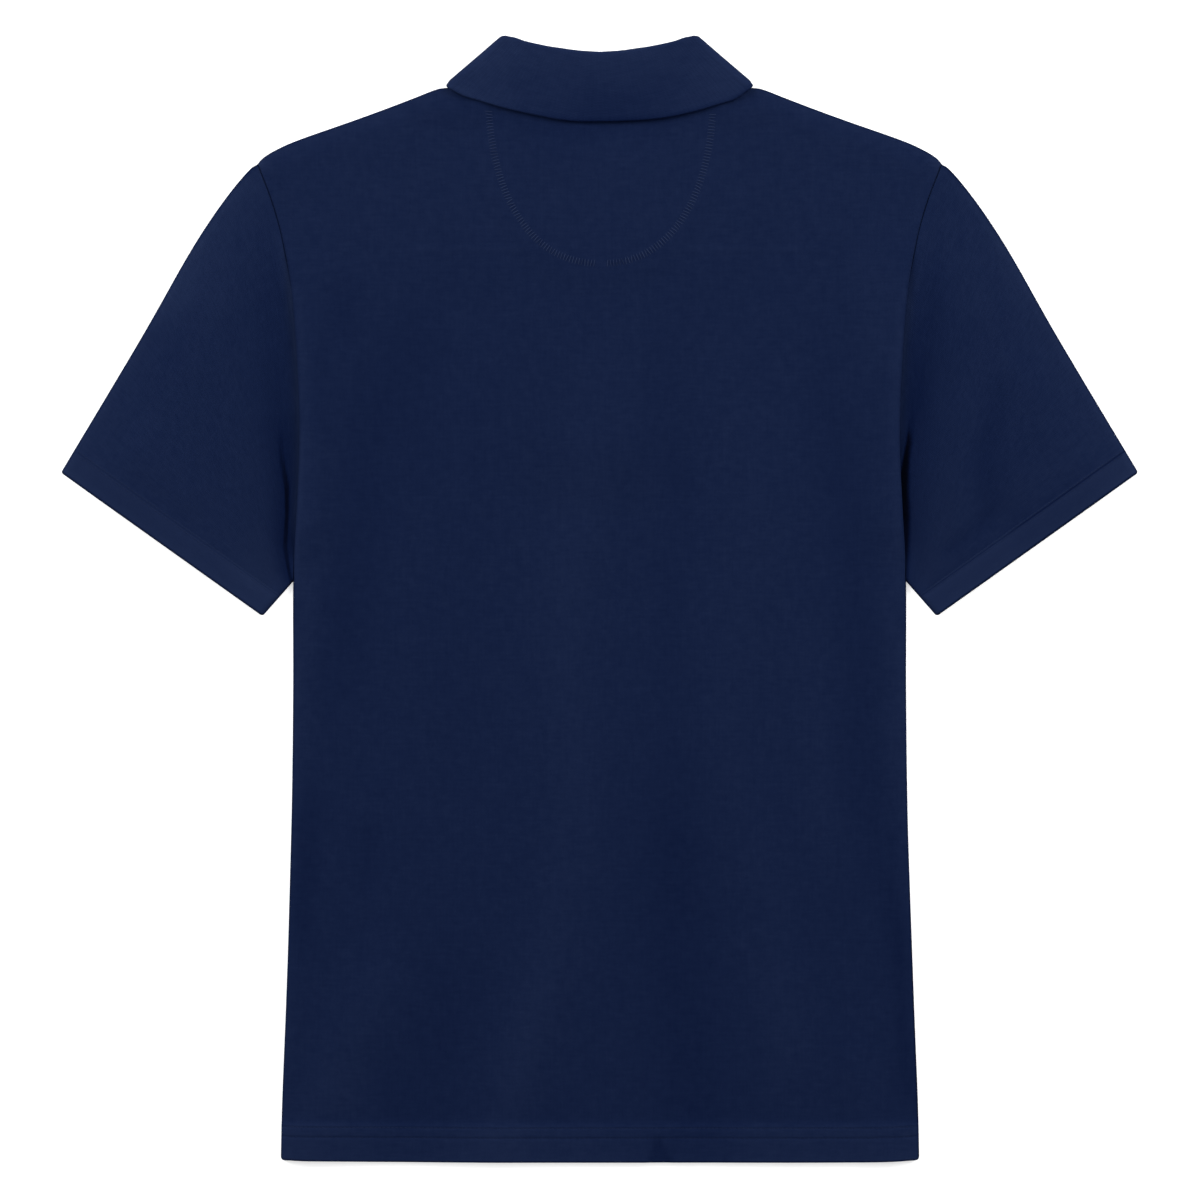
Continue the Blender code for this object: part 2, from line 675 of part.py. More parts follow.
def turn(name, profile, radius, centre_y, finish):
    """A solid turned about an upright axis, from its lower pole to its upper one."""
    angles = np.linspace(0, 2 * math.pi, BUTTON_SIDES, endpoint=False)
    points = [(0.0, centre_y, profile[0].y)]
    for row in profile[1:-1]:
        for angle in angles:
            x = radius * row.x * math.cos(angle)
            points.append((x, centre_y + radius * row.x * math.sin(angle), row.y))
    points.append((0.0, centre_y, profile[-1].y))
    last = len(points) - 1
    faces = []
    for i in range(BUTTON_SIDES):
        after = (i + 1) % BUTTON_SIDES
        faces.append([0, 1 + after, 1 + i])
        faces.append([last, last - BUTTON_SIDES + i, last - BUTTON_SIDES + after])
        for ring in range(len(profile) - 3):
            low = 1 + ring * BUTTON_SIDES
            high = low + BUTTON_SIDES
            faces.append([low + i, low + after, high + after, high + i])
    mesh = bpy.data.meshes.new(name)
    mesh.from_pydata((np.array(points) * MM).tolist(), [], faces)
    return add_object(name, mesh, finish)


def add_buttons(finish):
    """Four-hole buttons face down on the buttonholed band: rim, dished face, round back."""
    turned = [
        Point(0.0, BUTTON_DISH),
        Point(0.60, BUTTON_DISH),
        Point(0.80, 0.0),
        Point(0.94, 0.3),
        Point(1.0, 1.2),
        Point(0.88, BUTTON_THICK),
        Point(0.0, BUTTON_THICK),
    ]
    for number in range(BUTTON_COUNT):
        centre_y = BUTTON_TOP_Y - number * BUTTON_PITCH
        name = f"button_{number + 1}"
        button = turn(name, turned, BUTTON_RADIUS, centre_y, finish)
        for hole in range(4):
            angle = math.radians(45 + 90 * hole)
            turns = np.linspace(0, 2 * math.pi, HOLE_SIDES, endpoint=False)
            x = HOLE_PLACE * math.cos(angle) + HOLE_RADIUS * np.cos(turns)
            y = HOLE_PLACE * math.sin(angle) + HOLE_RADIUS * np.sin(turns)
            cutter_name = f"{name}_hole_{hole + 1}"
            cutter = prism(cutter_name, x, centre_y + y, -CUTTER_MARGIN, CUTTER_TOP)
            cut(button, cutter, "DIFFERENCE")


def main():
    clear_scene()
    knit = material("navy_knit", NAVY, 0.85)
    rib = material("navy_rib", NAVY_RIB, 0.9)
    add_back_panel(knit)
    add_front_panel(knit)
    add_half_moon_patch(knit)
    add_sleeve("sleeve_right", 1, RIGHT_SLEEVE_ROLLS, knit)
    add_sleeve("sleeve_left", -1, LEFT_SLEEVE_ROLLS, knit)
    add_collar(rib)
    add_placket(knit)
    add_buttons(material("navy_button", BUTTON_NAVY, 0.35))


main()
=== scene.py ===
# %% [markdown]
# # A navy polo shirt, laid flat with its back up
#
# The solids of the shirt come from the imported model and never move. Everything that shows is
# made here round them: each panel as a thin shell of cloth on the form of its own solid, then
# stitches, buttons and finishes. Lengths of the pattern are in millimetres, as a maker writes
# them, and become metres when a piece is laid.

# %% Load the solids
import math
from collections import namedtuple
from contextlib import contextmanager

import bmesh
import bpy
import numpy as np
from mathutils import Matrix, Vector
from mathutils.bvhtree import BVHTree


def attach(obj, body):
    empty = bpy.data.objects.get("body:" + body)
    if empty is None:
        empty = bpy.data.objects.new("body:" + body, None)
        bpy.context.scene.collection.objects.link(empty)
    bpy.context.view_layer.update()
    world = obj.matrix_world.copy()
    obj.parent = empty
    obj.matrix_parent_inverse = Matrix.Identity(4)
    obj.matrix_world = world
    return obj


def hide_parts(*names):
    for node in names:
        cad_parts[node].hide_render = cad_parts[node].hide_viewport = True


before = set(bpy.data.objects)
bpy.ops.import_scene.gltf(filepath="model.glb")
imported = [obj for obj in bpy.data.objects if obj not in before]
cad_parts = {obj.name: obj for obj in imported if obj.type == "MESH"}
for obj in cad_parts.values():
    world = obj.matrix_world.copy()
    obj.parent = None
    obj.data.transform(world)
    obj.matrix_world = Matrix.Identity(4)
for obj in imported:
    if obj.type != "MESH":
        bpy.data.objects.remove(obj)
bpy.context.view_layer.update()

MM = 0.001

# %% [markdown]
# ## The table, the light and the camera
#
# The shirt lies on a plain white table and is looked at from straight above. Two wide soft
# lights stand beyond the shoulders, left and right, so that every fold has a lighter and a
# darker flank and the rounded outer edges of the sleeves catch light. A dim soft light overhead
# and a pale surround fill the shadows. A long lens from far away keeps the outline free of
# perspective.


# %% Table and lights
def new_finish(name, **settings):
    """A material whose shader has these settings; an underscore stands for a space."""
    made = bpy.data.materials.new(name)
    made.use_nodes = True
    shader = made.node_tree.nodes["Principled BSDF"]
    for label, value in settings.items():
        shader.inputs[label.replace("_", " ")].default_value = value
    return made


def dress(piece, finish):
    """Gives a piece this finish and no other."""
    piece.data.materials.clear()
    piece.data.materials.append(finish)


def soft_light(name, place, width, power):
    """A square soft box that faces the middle of the shirt."""
    lamp = bpy.data.lights.new(name, "AREA")
    lamp.shape = "SQUARE"
    lamp.size = width
    lamp.energy = power
    box = bpy.data.objects.new(name, lamp)
    box.location = place
    box.rotation_euler = Vector(place).to_track_quat("Z", "Y").to_euler()
    bpy.context.scene.collection.objects.link(box)


TABLE_WIDTH = 14.0
TABLE_BELOW = 0.0006
WHITE = (1.0, 1.0, 1.0, 1.0)
bpy.ops.object.select_all(action="DESELECT")
bpy.ops.mesh.primitive_plane_add(size=TABLE_WIDTH, location=(0.0, 0.0, -TABLE_BELOW))
table = bpy.context.object
table.name = "white_table"
dress(table, new_finish(
    "white_table_paint", Base_Color=(0.93, 0.93, 0.93, 1.0), Roughness=0.9,
    Specular_IOR_Level=0.0, Emission_Color=WHITE, Emission_Strength=0.3,
))

soft_light("light_left", (-2.2, 1.5, 1.5), 1.6, 78.0)
soft_light("light_right", (2.2, 1.5, 1.5), 1.6, 78.0)
soft_light("light_above", (0.0, 0.2, 3.6), 2.4, 30.0)
surround = bpy.data.worlds.new("pale_surround")
surround.use_nodes = True
sky = surround.node_tree.nodes["Background"].inputs
sky["Color"].default_value = WHITE
sky["Strength"].default_value = 0.55
bpy.context.scene.world = surround
bpy.context.scene.view_settings.view_transform = "Standard"
print("table", TABLE_WIDTH, "m wide, lights", len(bpy.data.lights))

# %% Camera
VIEW_WIDTH = 0.81
VIEW_LEVEL = 0.0015
CAMERA_HEIGHT = 3.0
CAMERA_CENTRE = (0.00024, -0.00068)
SENSOR = 36.0
eye = bpy.data.cameras.new("eye")
eye.sensor_width = SENSOR
eye.lens = SENSOR * (CAMERA_HEIGHT - VIEW_LEVEL) / VIEW_WIDTH
camera = bpy.data.objects.new("eye", eye)
camera.location = (*CAMERA_CENTRE, CAMERA_HEIGHT)
bpy.context.scene.collection.objects.link(camera)
bpy.context.scene.camera = camera
print("view", VIEW_WIDTH, "m wide, lens", round(eye.lens, 1), "mm")

# %% [markdown]
# ## Lines and soft steps
#
# A pattern is drawn as a few points joined by a smooth line. These helpers bend a line through
# its points, walk along it by share of its length and tell how far a place is from it, which is
# what folds, seams and rows of stitches all need. Soft steps and bells fade one height or tone
# into the next, as cloth does.


# %% Helpers for lines
def ease(value):
    """0 below 0, 1 above 1 and a soft S between."""
    held = np.clip(value, 0.0, 1.0)
    return held * held * (3.0 - 2.0 * held)


def bell(distance, width):
    """1 at no distance, and dying away softly over this width."""
    return np.exp(-((distance / width) ** 2))


def unit(vectors):
    """The same directions, each of length 1."""
    return vectors / np.linalg.norm(vectors, axis=-1)[..., None]


def stacked(*parts):
    """Places of a grid from their coordinates."""
    return np.stack(np.broadcast_arrays(*parts), axis=-1)


def smooth_curve(points, steps=10):
    """A Catmull-Rom curve through the points, as a dense line."""
    given = np.array(points, float)
    ends = np.vstack([2 * given[0] - given[1], given, 2 * given[-1] - given[-2]])
    t = np.linspace(0.0, 1.0, steps, endpoint=False)[:, None]
    stretches = []
    for a, b, c, d in zip(ends, ends[1:], ends[2:], ends[3:]):
        bent = (2 * a - 5 * b + 4 * c - d) * t**2 + (3 * b - a - 3 * c + d) * t**3
        stretches.append(0.5 * (2 * b + (c - a) * t + bent))
    return np.vstack(stretches + [given[-1:]])


def walked(curve):
    """How far along a line each of its points is."""
    steps = np.linalg.norm(np.diff(curve, axis=0), axis=-1)
    return np.concatenate([np.zeros_like(steps[:1]), np.cumsum(steps, axis=0)])


def line_length(curve):
    return float(walked(curve)[-1])


def along(curve, share):
    """Points of a line at the given shares of its length."""
    reach = walked(curve)
    wanted = np.asarray(share) * reach[-1]
    places = [np.interp(wanted, reach, curve[:, axis]) for axis in range(curve.shape[1])]
    return np.stack(places, axis=-1)


def evenly(ends, count):
    """A line through a few points, cut into even steps."""
    return along(np.array(ends, float), np.linspace(0, 1, count))


def distance_to(curve, x, y):
    """Plan distance from each place to the nearest stretch of a line."""
    nearest = np.full(np.shape(x), np.inf)
    for start, end in zip(curve, curve[1:]):
        run = end - start
        share = ((x - start[0]) * run[0] + (y - start[1]) * run[1]) / max(run @ run, 1e-9)
        share = np.clip(share, 0.0, 1.0)
        gap = np.hypot(x - start[0] - share * run[0], y - start[1] - share * run[1])
        nearest = np.minimum(nearest, gap)
    return nearest


def rounded_off(wall, from_edge, radius):
    """How much of a wall is taken off so that it rounds down to its edge."""
    within = 1 - np.clip(from_edge / radius, 0.0, 1.0)
    return wall * (1 - np.sqrt(np.maximum(1 - within**2, 0.0)))


# %% [markdown]
# ## The pattern
#
# These are the outlines that the body is cut to, half of each, within a millimetre of those that
# the solids have, so that every shell lands on its solid. The body is narrowest at the waist,
# wider at the hem and widest at the shoulder points.

# %% Sizes of the pattern
CLOTH = 1.2
RIB = 1.7
PATCH = 1.0
SEAM = 0.3
SEAM_SPARE = 0.1
AIR = 1.4
HEM_TURN = 0.6
HEM_Y = -378.9
HEM_SAG = 1.4
SAG_SHAPE_LEFT, SAG_SHAPE_RIGHT = 3, 10
HEM_ASIDE = 0.3
HEM_BAND = 24.0
SHOULDER_Y = 293.5
WAIST_X = 208.0
UNDERARM_Y = 11.5
NECK_X = 84.0
NECK_Y = 350.4
BACK_NECK_DROP = 13.4
BACK_NECK_ROUND = 2.5
FRONT_NECK_DROP = 77.9
FRONT_NECK_ROUND = 2.2
SHOULDER_X = 231.0

BODY_SIDE = [
    (215.4, HEM_Y), (214.5, -338.0), (211.85, -271.0), (209.55, -203.0), (207.75, -136.0),
    (206.9, -60.0), (206.8, UNDERARM_Y), (204.2, 62.0), (202.5, 105.0), (203.6, 150.0),
    (207.6, 205.0), (213.5, 240.0), (221.0, 267.0), (SHOULDER_X, SHOULDER_Y),
]
SHOULDER = [
    (NECK_X, NECK_Y), (100.5, 345.0), (109.5, 343.7), (127.6, 336.95), (165.0, 323.3),
    (202.8, 310.0), (217.9, 303.4), (226.8, 298.0), (SHOULDER_X, SHOULDER_Y),
]
HEM_CORNER = 2.8
SIDE_CURVE = smooth_curve(BODY_SIDE)
SHOULDER_CURVE = smooth_curve(SHOULDER)


def side_x(y):
    """The side edge, rounded at the hem's corner."""
    edge = np.interp(y, SIDE_CURVE[:, 1], SIDE_CURVE[:, 0])
    return edge - rounded_off(HEM_CORNER, y - HEM_Y, HEM_CORNER)


def top_edge(x, drop, roundness, fullness):
    """The top of a body panel: its two shoulders, and the neck hollowed between them."""
    inside = 1 - np.minimum(np.abs(x) / NECK_X, 1) ** roundness
    shoulder = np.interp(np.abs(x), SHOULDER_CURVE[:, 0], SHOULDER_CURVE[:, 1])
    return np.where(np.abs(x) < NECK_X, NECK_Y - drop * inside**fullness, shoulder)


def back_top_y(x):
    return top_edge(x, BACK_NECK_DROP, BACK_NECK_ROUND, 1)


def front_top_y(x):
    return top_edge(x, FRONT_NECK_DROP, FRONT_NECK_ROUND, 1 / FRONT_NECK_ROUND)


def body_plan(share, row_y, top_y):
    """Where a place of a body panel lies: share runs from side to side, row_y from hem to top."""
    v = (row_y - HEM_Y) / (SHOULDER_Y - HEM_Y)
    x = share * (WAIST_X + (side_x(row_y) - WAIST_X) * share**2)
    x_top = share * (WAIST_X + (SHOULDER_X - WAIST_X) * share**2)
    rise = v**3 * (top_y(x_top) - SHOULDER_Y)
    shape = np.where(share > 0, SAG_SHAPE_RIGHT, SAG_SHAPE_LEFT)
    sag = (1 - v) ** 3 * HEM_SAG * (1 - np.abs(share) ** shape)
    return x + HEM_ASIDE * ease((-row_y - 150) / 100), row_y + rise - sag


print("body", 2 * BODY_SIDE[0][0], "mm wide at the hem,", NECK_Y - HEM_Y, "mm long")

# %% [markdown]
# ## How the layers lie
#
# The shirt lies on its front. The collar leaf and the buttoned placket are underneath, so the
# front panel is held a little off the table there, and the back, which lies on the front, rises
# with it. The back also lies loose: it stands off the front by a little air, and more where it
# carries a fold. At its side edges it comes down to the front again, and along the lower half of
# each armhole it stands up in a rolled edge, with the sleeve sunk behind it.

# %% Heights of the layers
BAND_X = 16.0
BAND_Y = 117.0
BUTTON_THICK = 2.5
PLACKET_RISE = BUTTON_THICK + SEAM + CLOTH + SEAM
PLACKET_MARGIN = 6.0
PLACKET_RUN = 60.0
PLACKET_TOP_Y = 285.0
COLLAR_RISE = RIB + 0.4
COLLAR_REACH = 113.0
COLLAR_RUN = 45.0
COLLAR_SQUASH = 0.8
SEAM_RISE = 3.6
SEAM_RISE_AT = (97.0, 346.0)
SEAM_RISE_REACH = 12.0
SEAM_RISE_RUN = 45.0


def from_neck(x, y):
    """Distance from the neck, counted shorter down the body than across it."""
    return np.hypot(x, COLLAR_SQUASH * (NECK_Y - y))


def floor_rise(x, y):
    """How far the front is held off the table, by the collar leaf and the placket."""
    over_collar = COLLAR_RISE * (1 - ease((from_neck(x, y) - COLLAR_REACH) / COLLAR_RUN))
    beside = np.maximum(np.abs(x) - BAND_X, 0)
    beyond = np.maximum(BAND_Y - y, 0) + np.maximum(y - PLACKET_TOP_Y, 0)
    placket = np.hypot(beside, beyond) - PLACKET_MARGIN
    over_placket = PLACKET_RISE * (1 - ease(placket / PLACKET_RUN))
    to_side = np.hypot(np.abs(x) - SEAM_RISE_AT[0], y - SEAM_RISE_AT[1])
    at_shoulder = SEAM_RISE * (1 - ease((to_side - SEAM_RISE_REACH) / SEAM_RISE_RUN))
    return np.maximum(np.maximum(over_collar, over_placket), at_shoulder)


print("front rises", round(PLACKET_RISE, 2), "mm over the placket", COLLAR_RISE, "over the leaf")


# %% [markdown]
# ## Folds of the back
#
# A laid shirt keeps a few long soft folds. Each one here is a line with a width, a height and a
# tone: painted highlight, mostly on a ridge, and painted shade, mostly in a trough. The long ones
# run from the shoulder blades to the hem and are uneven, as real ones are. Height moves the
# cloth, and the painted tone is kept for the finish.

# %% Table of folds
Fold = namedtuple("Fold", "line width height tone")
BACK_FOLDS = [
    Fold([(-6, 225), (2, 150), (-12, 60), (-24, 0), (-21, -92), (-19, -150), (-31, -242),
          (-57, -332), (-84, -440)], 22, 2.2, 0.21),
    Fold([(78, 245), (86, 190), (95, 120), (104, 60), (94, -40), (90, -112), (111, -215),
          (134, -420)], 22, 2.1, 0.12),
    Fold([(-38, -215), (-50, -290), (-62, -345), (-80, -430)], 16, 0.4, 0.16),
    Fold([(-136, -215), (-158, -275), (-186, -330), (-220, -425)], 23, 2.2, 0.18),
    Fold([(-62, 215), (-92, 60), (-100, -40), (-104, -140)], 22, 1.1, -0.08),
    Fold([(-193, 215), (-194, 60), (-197, -20), (-200, -70), (-203, -135)], 12, 1.5, 0.05),
    Fold([(-196, 50), (-197, -10), (-200, -70), (-203, -135)], 11, 0.3, 0.18),
    Fold([(199, 45), (198, -40), (198, -100), (201, -170)], 11, 1.4, 0.20),
    Fold([(158, -275), (180, -338), (208, -440)], 16, 1.4, 0.06),
    Fold([(-98, 240), (-122, 195), (-150, 136), (-158, 60), (-168, 5), (-176, -50), (-188, -130)],
         21, -0.9, -0.29),
    Fold([(-190, -110), (-199, -180), (-206, -260)], 10, -0.5, -0.34),
    Fold([(-96, -212), (-104, -286), (-124, -335), (-146, -440)], 25, -1.0, -0.22),
    Fold([(42, 235), (46, 170), (49, 114), (55, 64), (47, 10), (49, -112), (50, -190), (54, -260)],
         14, -0.8, -0.12),
    Fold([(50, -90), (50, -200), (60, -310), (78, -440)], 25, -1.0, -0.33),
    Fold([(150, 225), (156, 142), (164, 74), (172, 15), (178, -50), (178, -100), (190, -190),
          (205, -270)], 17, -0.9, -0.22),
    Fold([(180, 250), (186, 190), (189, 135)], 12, 0.2, 0.18),
    Fold([(203, -190), (205, -260), (210, -370)], 8, -0.4, -0.42),
    Fold([(112, -230), (128, -300), (132, -340)], 16, 0.2, 0.14),
    Fold([(-188, 190), (-188, 90)], 8, -0.2, -0.18),
    Fold([(-173, 222), (-173, 162)], 10, -0.5, -0.22),
    Fold([(-158, -140), (-156, -205)], 9, -0.6, -0.22),
    Fold([(25, 232), (25, 120)], 1.3, 0.0, 0.12),
    Fold([(-110, 195), (-122, 130), (-117, 55)], 14, -0.2, -0.16),
    Fold([(136, 10), (146, -110), (162, -215)], 13, 0.3, 0.15),
    Fold([(190, -165), (196, -215), (201, -260)], 7, -0.2, -0.18),
    Fold([(-206, -338), (-178, -330), (-148, -338)], 16, 0.0, 0.15),
]


FOLD_FADE = 0.3


def fold_sum(folds, x, y):
    """Height, and tone of painted highlight and shade, that a table of folds gives to each place; a
    fold dies away at its ends.
    """
    height = np.zeros(np.shape(x))
    tone = np.zeros(np.shape(x))
    for fold in folds:
        curve = smooth_curve(fold.line, 5)
        run = curve[-1] - curve[0]
        share = ((x - curve[0][0]) * run[0] + (y - curve[0][1]) * run[1]) / (run @ run)
        swell = bell(distance_to(curve, x, y), fold.width)
        swell = swell * ease(share / FOLD_FADE) * ease((1 - share) / FOLD_FADE)
        height += fold.height * swell
        tone += fold.tone * swell
    return height, tone


print("folds of the back", len(BACK_FOLDS))

# %% [markdown]
# ## A way to make cloth
#
# A cut piece of knit is a flat sheet with a few hundred points each way. So a grid is added,
# every point remembers its row and column, and Solidify gives the wall. Then the points of both
# faces are laid where the body of the shirt wants them. That keeps the piece one closed shell of
# even thickness, and the flat grid's own map stays on it, in metres of cloth, for the knit.


# %% Helpers for edit mode
def select_only(piece):
    """Leaves nothing selected but this piece."""
    if bpy.context.mode != "OBJECT":
        bpy.ops.object.mode_set(mode="OBJECT")
    bpy.ops.object.select_all(action="DESELECT")
    piece.select_set(True)
    bpy.context.view_layer.objects.active = piece


@contextmanager
def editing(piece, faces=None):
    """Edit mode for the steps inside, with all of the piece selected, or these faces alone."""
    select_only(piece)
    bpy.ops.object.mode_set(mode="EDIT")
    bpy.ops.mesh.select_all(action="SELECT")
    if faces is not None:
        bpy.ops.mesh.select_mode(type="FACE")
        bpy.ops.mesh.select_all(action="DESELECT")
        bpy.ops.object.mode_set(mode="OBJECT")
        piece.data.polygons.foreach_set("select", faces)
        bpy.ops.object.mode_set(mode="EDIT")
    yield
    bpy.ops.object.mode_set(mode="OBJECT")


def apply_modifier(piece, kind, **settings):
    """Adds a modifier with these settings and makes its result the piece's own mesh."""
    select_only(piece)
    modifier = piece.modifiers.new(kind.title(), kind)
    for key, value in settings.items():
        setattr(modifier, key, value)
    bpy.ops.object.modifier_apply(modifier=modifier.name)


def read_all(items, label, width, kind=float):
    """One row of numbers for each point, corner or value of a mesh."""
    flat = np.empty(len(items) * width, kind)
    items.foreach_get(label, flat)
    return flat.reshape(-1, width)


def write_values(mesh, label, kind, values):
    """Keeps one value for each point of a mesh under this name."""
    number = np.int32 if kind == "INT" else np.float32
    mesh.attributes.new(label, kind, "POINT").data.foreach_set("value", values.astype(number))


def signed_volume(piece):
    """Cubic metres inside a closed piece; less than 0 where its faces point inwards."""
    shape = bmesh.new()
    shape.from_mesh(piece.data)
    volume = shape.calc_volume(signed=True)
    shape.free()
    return volume


# %% Lay a piece of cloth
SHARP_EDGE = math.radians(55)
SAME_PLACE = 1e-6
CUT_PLACE = ("cut_row", "cut_column")


def lay_cloth(name, outer, inner, weave, tone, keep=None, closed=False):
    """One closed shell of cloth between two grids of places, in millimetres.

    weave is each place's position in the flat cloth, tone its lightness, keep the quads that are
    cloth, and closed joins the last column to the first, as a sleeve's underarm seam does."""
    rows, columns = outer.shape[:2]
    bpy.ops.object.select_all(action="DESELECT")
    bpy.ops.mesh.primitive_grid_add(
        x_subdivisions=columns - 1, y_subdivisions=rows - 1, size=1, calc_uvs=True
    )
    piece = bpy.context.object
    piece.name = name
    mesh = piece.data
    mesh.name = name
    flat = read_all(mesh.vertices, "co", 3) + 0.5
    column = np.rint(flat[:, 0] * (columns - 1)).astype(int)
    row = np.rint(flat[:, 1] * (rows - 1)).astype(int)
    for label, values in zip(CUT_PLACE, (row, column)):
        write_values(mesh, label, "INT", values)
    mesh.vertices.foreach_set("co", (outer[row, column] * MM).ravel())
    if keep is not None:
        corners = np.array([face.vertices[:] for face in mesh.polygons])
        with editing(piece, ~keep[row[corners].min(axis=1), column[corners].min(axis=1)]):
            bpy.ops.mesh.delete(type="FACE")
    if closed:
        with editing(piece):
            bpy.ops.mesh.remove_doubles(threshold=SAME_PLACE)
    points = len(mesh.vertices)
    apply_modifier(piece, "SOLIDIFY", thickness=CLOTH * MM, offset=-1.0)
    mesh = piece.data
    row, column = (
        read_all(mesh.attributes[label].data, "value", 1, np.int32)[:, 0] for label in CUT_PLACE
    )
    within = np.arange(len(mesh.vertices)) >= points
    places = np.where(within[:, None], inner[row, column], outer[row, column])
    mesh.vertices.foreach_set("co", (places * MM).ravel())
    write_values(mesh, "tone", "FLOAT", tone[row, column])
    uv = mesh.uv_layers[0]
    uv.name = "weave"
    flat = np.rint(read_all(uv.data, "uv", 2) * (columns - 1, rows - 1)).astype(int)
    uv.data.foreach_set("uv", (weave[flat[:, 1], flat[:, 0]] * MM).ravel())
    for label in CUT_PLACE:
        mesh.attributes.remove(mesh.attributes[label])
    mesh.update()
    if signed_volume(piece) < 0:
        mesh.flip_normals()
    bpy.ops.object.shade_smooth_by_angle(angle=SHARP_EDGE)
    triangles = sum(len(face.vertices) - 2 for face in mesh.polygons)
    print(name, "triangles", triangles, "litres", round(signed_volume(piece) * 1000, 3))
    return piece


# %% [markdown]
# ## The back
#
# The biggest piece. Its rows are closest along the hem, where the turned cloth is thicker and two
# rows of stitches pull small grooves into it, and across the shoulder blades, where one straight
# crease shows that the shirt was folded. Its columns are closest at the sides, where the wall
# rounds off towards the seam.

# %% Rows and columns of the body
EDGE_STEPS = np.array([0.0, 0.25, 0.65, 1.2, 2.0, 3.1, 4.6])
INSIDE_EDGE = 7.0
HEM_STITCHES = (16.6, 23.2)
GROOVE_STEPS = (-1.6, -0.8, -0.4, 0, 0.4, 0.8, 1.6)
YOKE_LOW_Y, YOKE_HIGH_Y, YOKE_STEP = 195.0, 232.0, 1.6


def spaced(start, end, step):
    """Even places from start to end, no further apart than step."""
    return np.linspace(start, end, int(math.ceil(abs(end - start) / step)) + 1)


def rows_of_body(step):
    """Rows from hem to shoulder, close at the edges, the hem's stitches and the crease."""
    grooves = [spot + offset for spot in HEM_STITCHES for offset in GROOVE_STEPS]
    hem = np.concatenate([EDGE_STEPS, spaced(INSIDE_EDGE, 14.0, step), grooves]) + HEM_Y
    stops = (HEM_Y + HEM_BAND + 3.5, UNDERARM_Y, YOKE_LOW_Y, YOKE_HIGH_Y, SHOULDER_Y - INSIDE_EDGE)
    runs = [spaced(*run) for run in zip(stops, stops[1:], (step, step, YOKE_STEP, step))]
    return np.unique(np.concatenate([hem, *runs, SHOULDER_Y - EDGE_STEPS]))


def columns_of_body(step):
    """Columns as shares of the half width, from side to side."""
    inside = spaced(0.0, 1.0 - INSIDE_EDGE / WAIST_X, step / WAIST_X)
    half = np.unique(np.concatenate([inside, 1.0 - EDGE_STEPS / WAIST_X]))
    return np.concatenate([-half[:0:-1], half])


# %% Edges and hem of the body
GROOVE = 0.35
GROOVE_WIDTH = 0.7
TURN_STEP = 2.0
EDGE_ROUND = 1.4
ARMHOLE_ROUND = 0.7
ROLL_ROUND = 2.0
# RIM_TONE and RIM_WIDTH set the painted dark line along an edge.
RIM_TONE = 1.5
RIM_WIDTH = 0.9
BAND_TONE_EDGE = 23.4


def edge_distance(x, y, row_y, top_y):
    """Distance to each edge of a body panel: side, top and hem."""
    return side_x(row_y) - np.abs(x), top_y(x) - y, row_y - HEM_Y


def hem_grooves(row_y):
    """How deep the rows of stitches pull the cloth in."""
    return sum(GROOVE * bell(row_y - HEM_Y - spot, GROOVE_WIDTH) for spot in HEM_STITCHES)


def hem_turn(row_y):
    """How much thicker the turned hem is than single cloth."""
    return HEM_TURN * (1 - ease((row_y - HEM_Y - HEM_BAND) / TURN_STEP))


def on_band(from_hem):
    """1 on the turned hem's band, which is painted lighter as a highlight, and 0 above it."""
    return 1 - ease((from_hem - BAND_TONE_EDGE) / 3)


# %% The collar's leaf, the crease and the pinch
LEAF_BACK = [
    (0, 321.2), (16, 321.5), (32, 323.4), (62, 330), (84, 337.0), (94, 340.8), (104.3, 347.0),
]
LEAF_CURVE = smooth_curve(LEAF_BACK)
LEAF_DROP = 2.5
CREASE_Y = 236.0
CREASE_WIDTH = 1.4
CREASE_END_LEFT, CREASE_END_RIGHT = 118, 136
PINCH_X, PINCH_Y = 39.0, -361.4
PINCH_SLOPE = 0.08


def leaf_drop(x):
    """The collar's leaf lies a little lower on the right."""
    return LEAF_DROP * ease((x - 15) / 38) * ease((106 - x) / 18)


def leaf_edge_y(x):
    return np.interp(np.abs(x), LEAF_CURVE[:, 0], LEAF_CURVE[:, 1]) - leaf_drop(x)


def yoke_crease(x, y):
    """The sharp crease across the shoulder blades, left by folding; it misses the half moon."""
    end = np.where(x > 0, CREASE_END_RIGHT, CREASE_END_LEFT)
    across = ease((np.abs(x) - 42) / 14) * (1 - ease((np.abs(x) - end) / 26))
    return bell(y - CREASE_Y, CREASE_WIDTH) * across


def hem_pinch(x, y):
    """A narrow wedge at the hem where the cloth is drawn in; it widens downwards."""
    below = np.maximum(PINCH_Y - y, 0)
    aside = np.abs(x - PINCH_X - PINCH_SLOPE * below)
    return ease((0.42 * below + 1.8 - aside) / 3.2) * ease(below / 3)


# %% Half moon and rolled armhole edge
MOON_X = 78.0
MOON_TOP_Y = 345.0
MOON_DROP = 120.5
MOON_ROUND = 2.25
MOON_RUN = 0.2
LIFT = 3.6
LIFT_RUN = 24.0
LIFT_START = 0.10
LIFT_GROWTH = 0.25
LIFT_FADE = 0.14


def moon_radius(x, y):
    """1 on the rim of the half moon that hangs from the neck, less inside it."""
    across = np.abs(x) / MOON_X
    down = np.maximum(MOON_TOP_Y - y, 0) / MOON_DROP
    return (across**MOON_ROUND + down**MOON_ROUND) ** (1 / MOON_ROUND)


def armhole_lift(y):
    """How far the back's armhole edge stands up at this height of the armhole."""
    share = (SHOULDER_Y - y) / (SHOULDER_Y - UNDERARM_Y)
    return LIFT * ease((share - LIFT_START) / LIFT_GROWTH) * ease((1.0 - share) / LIFT_FADE)


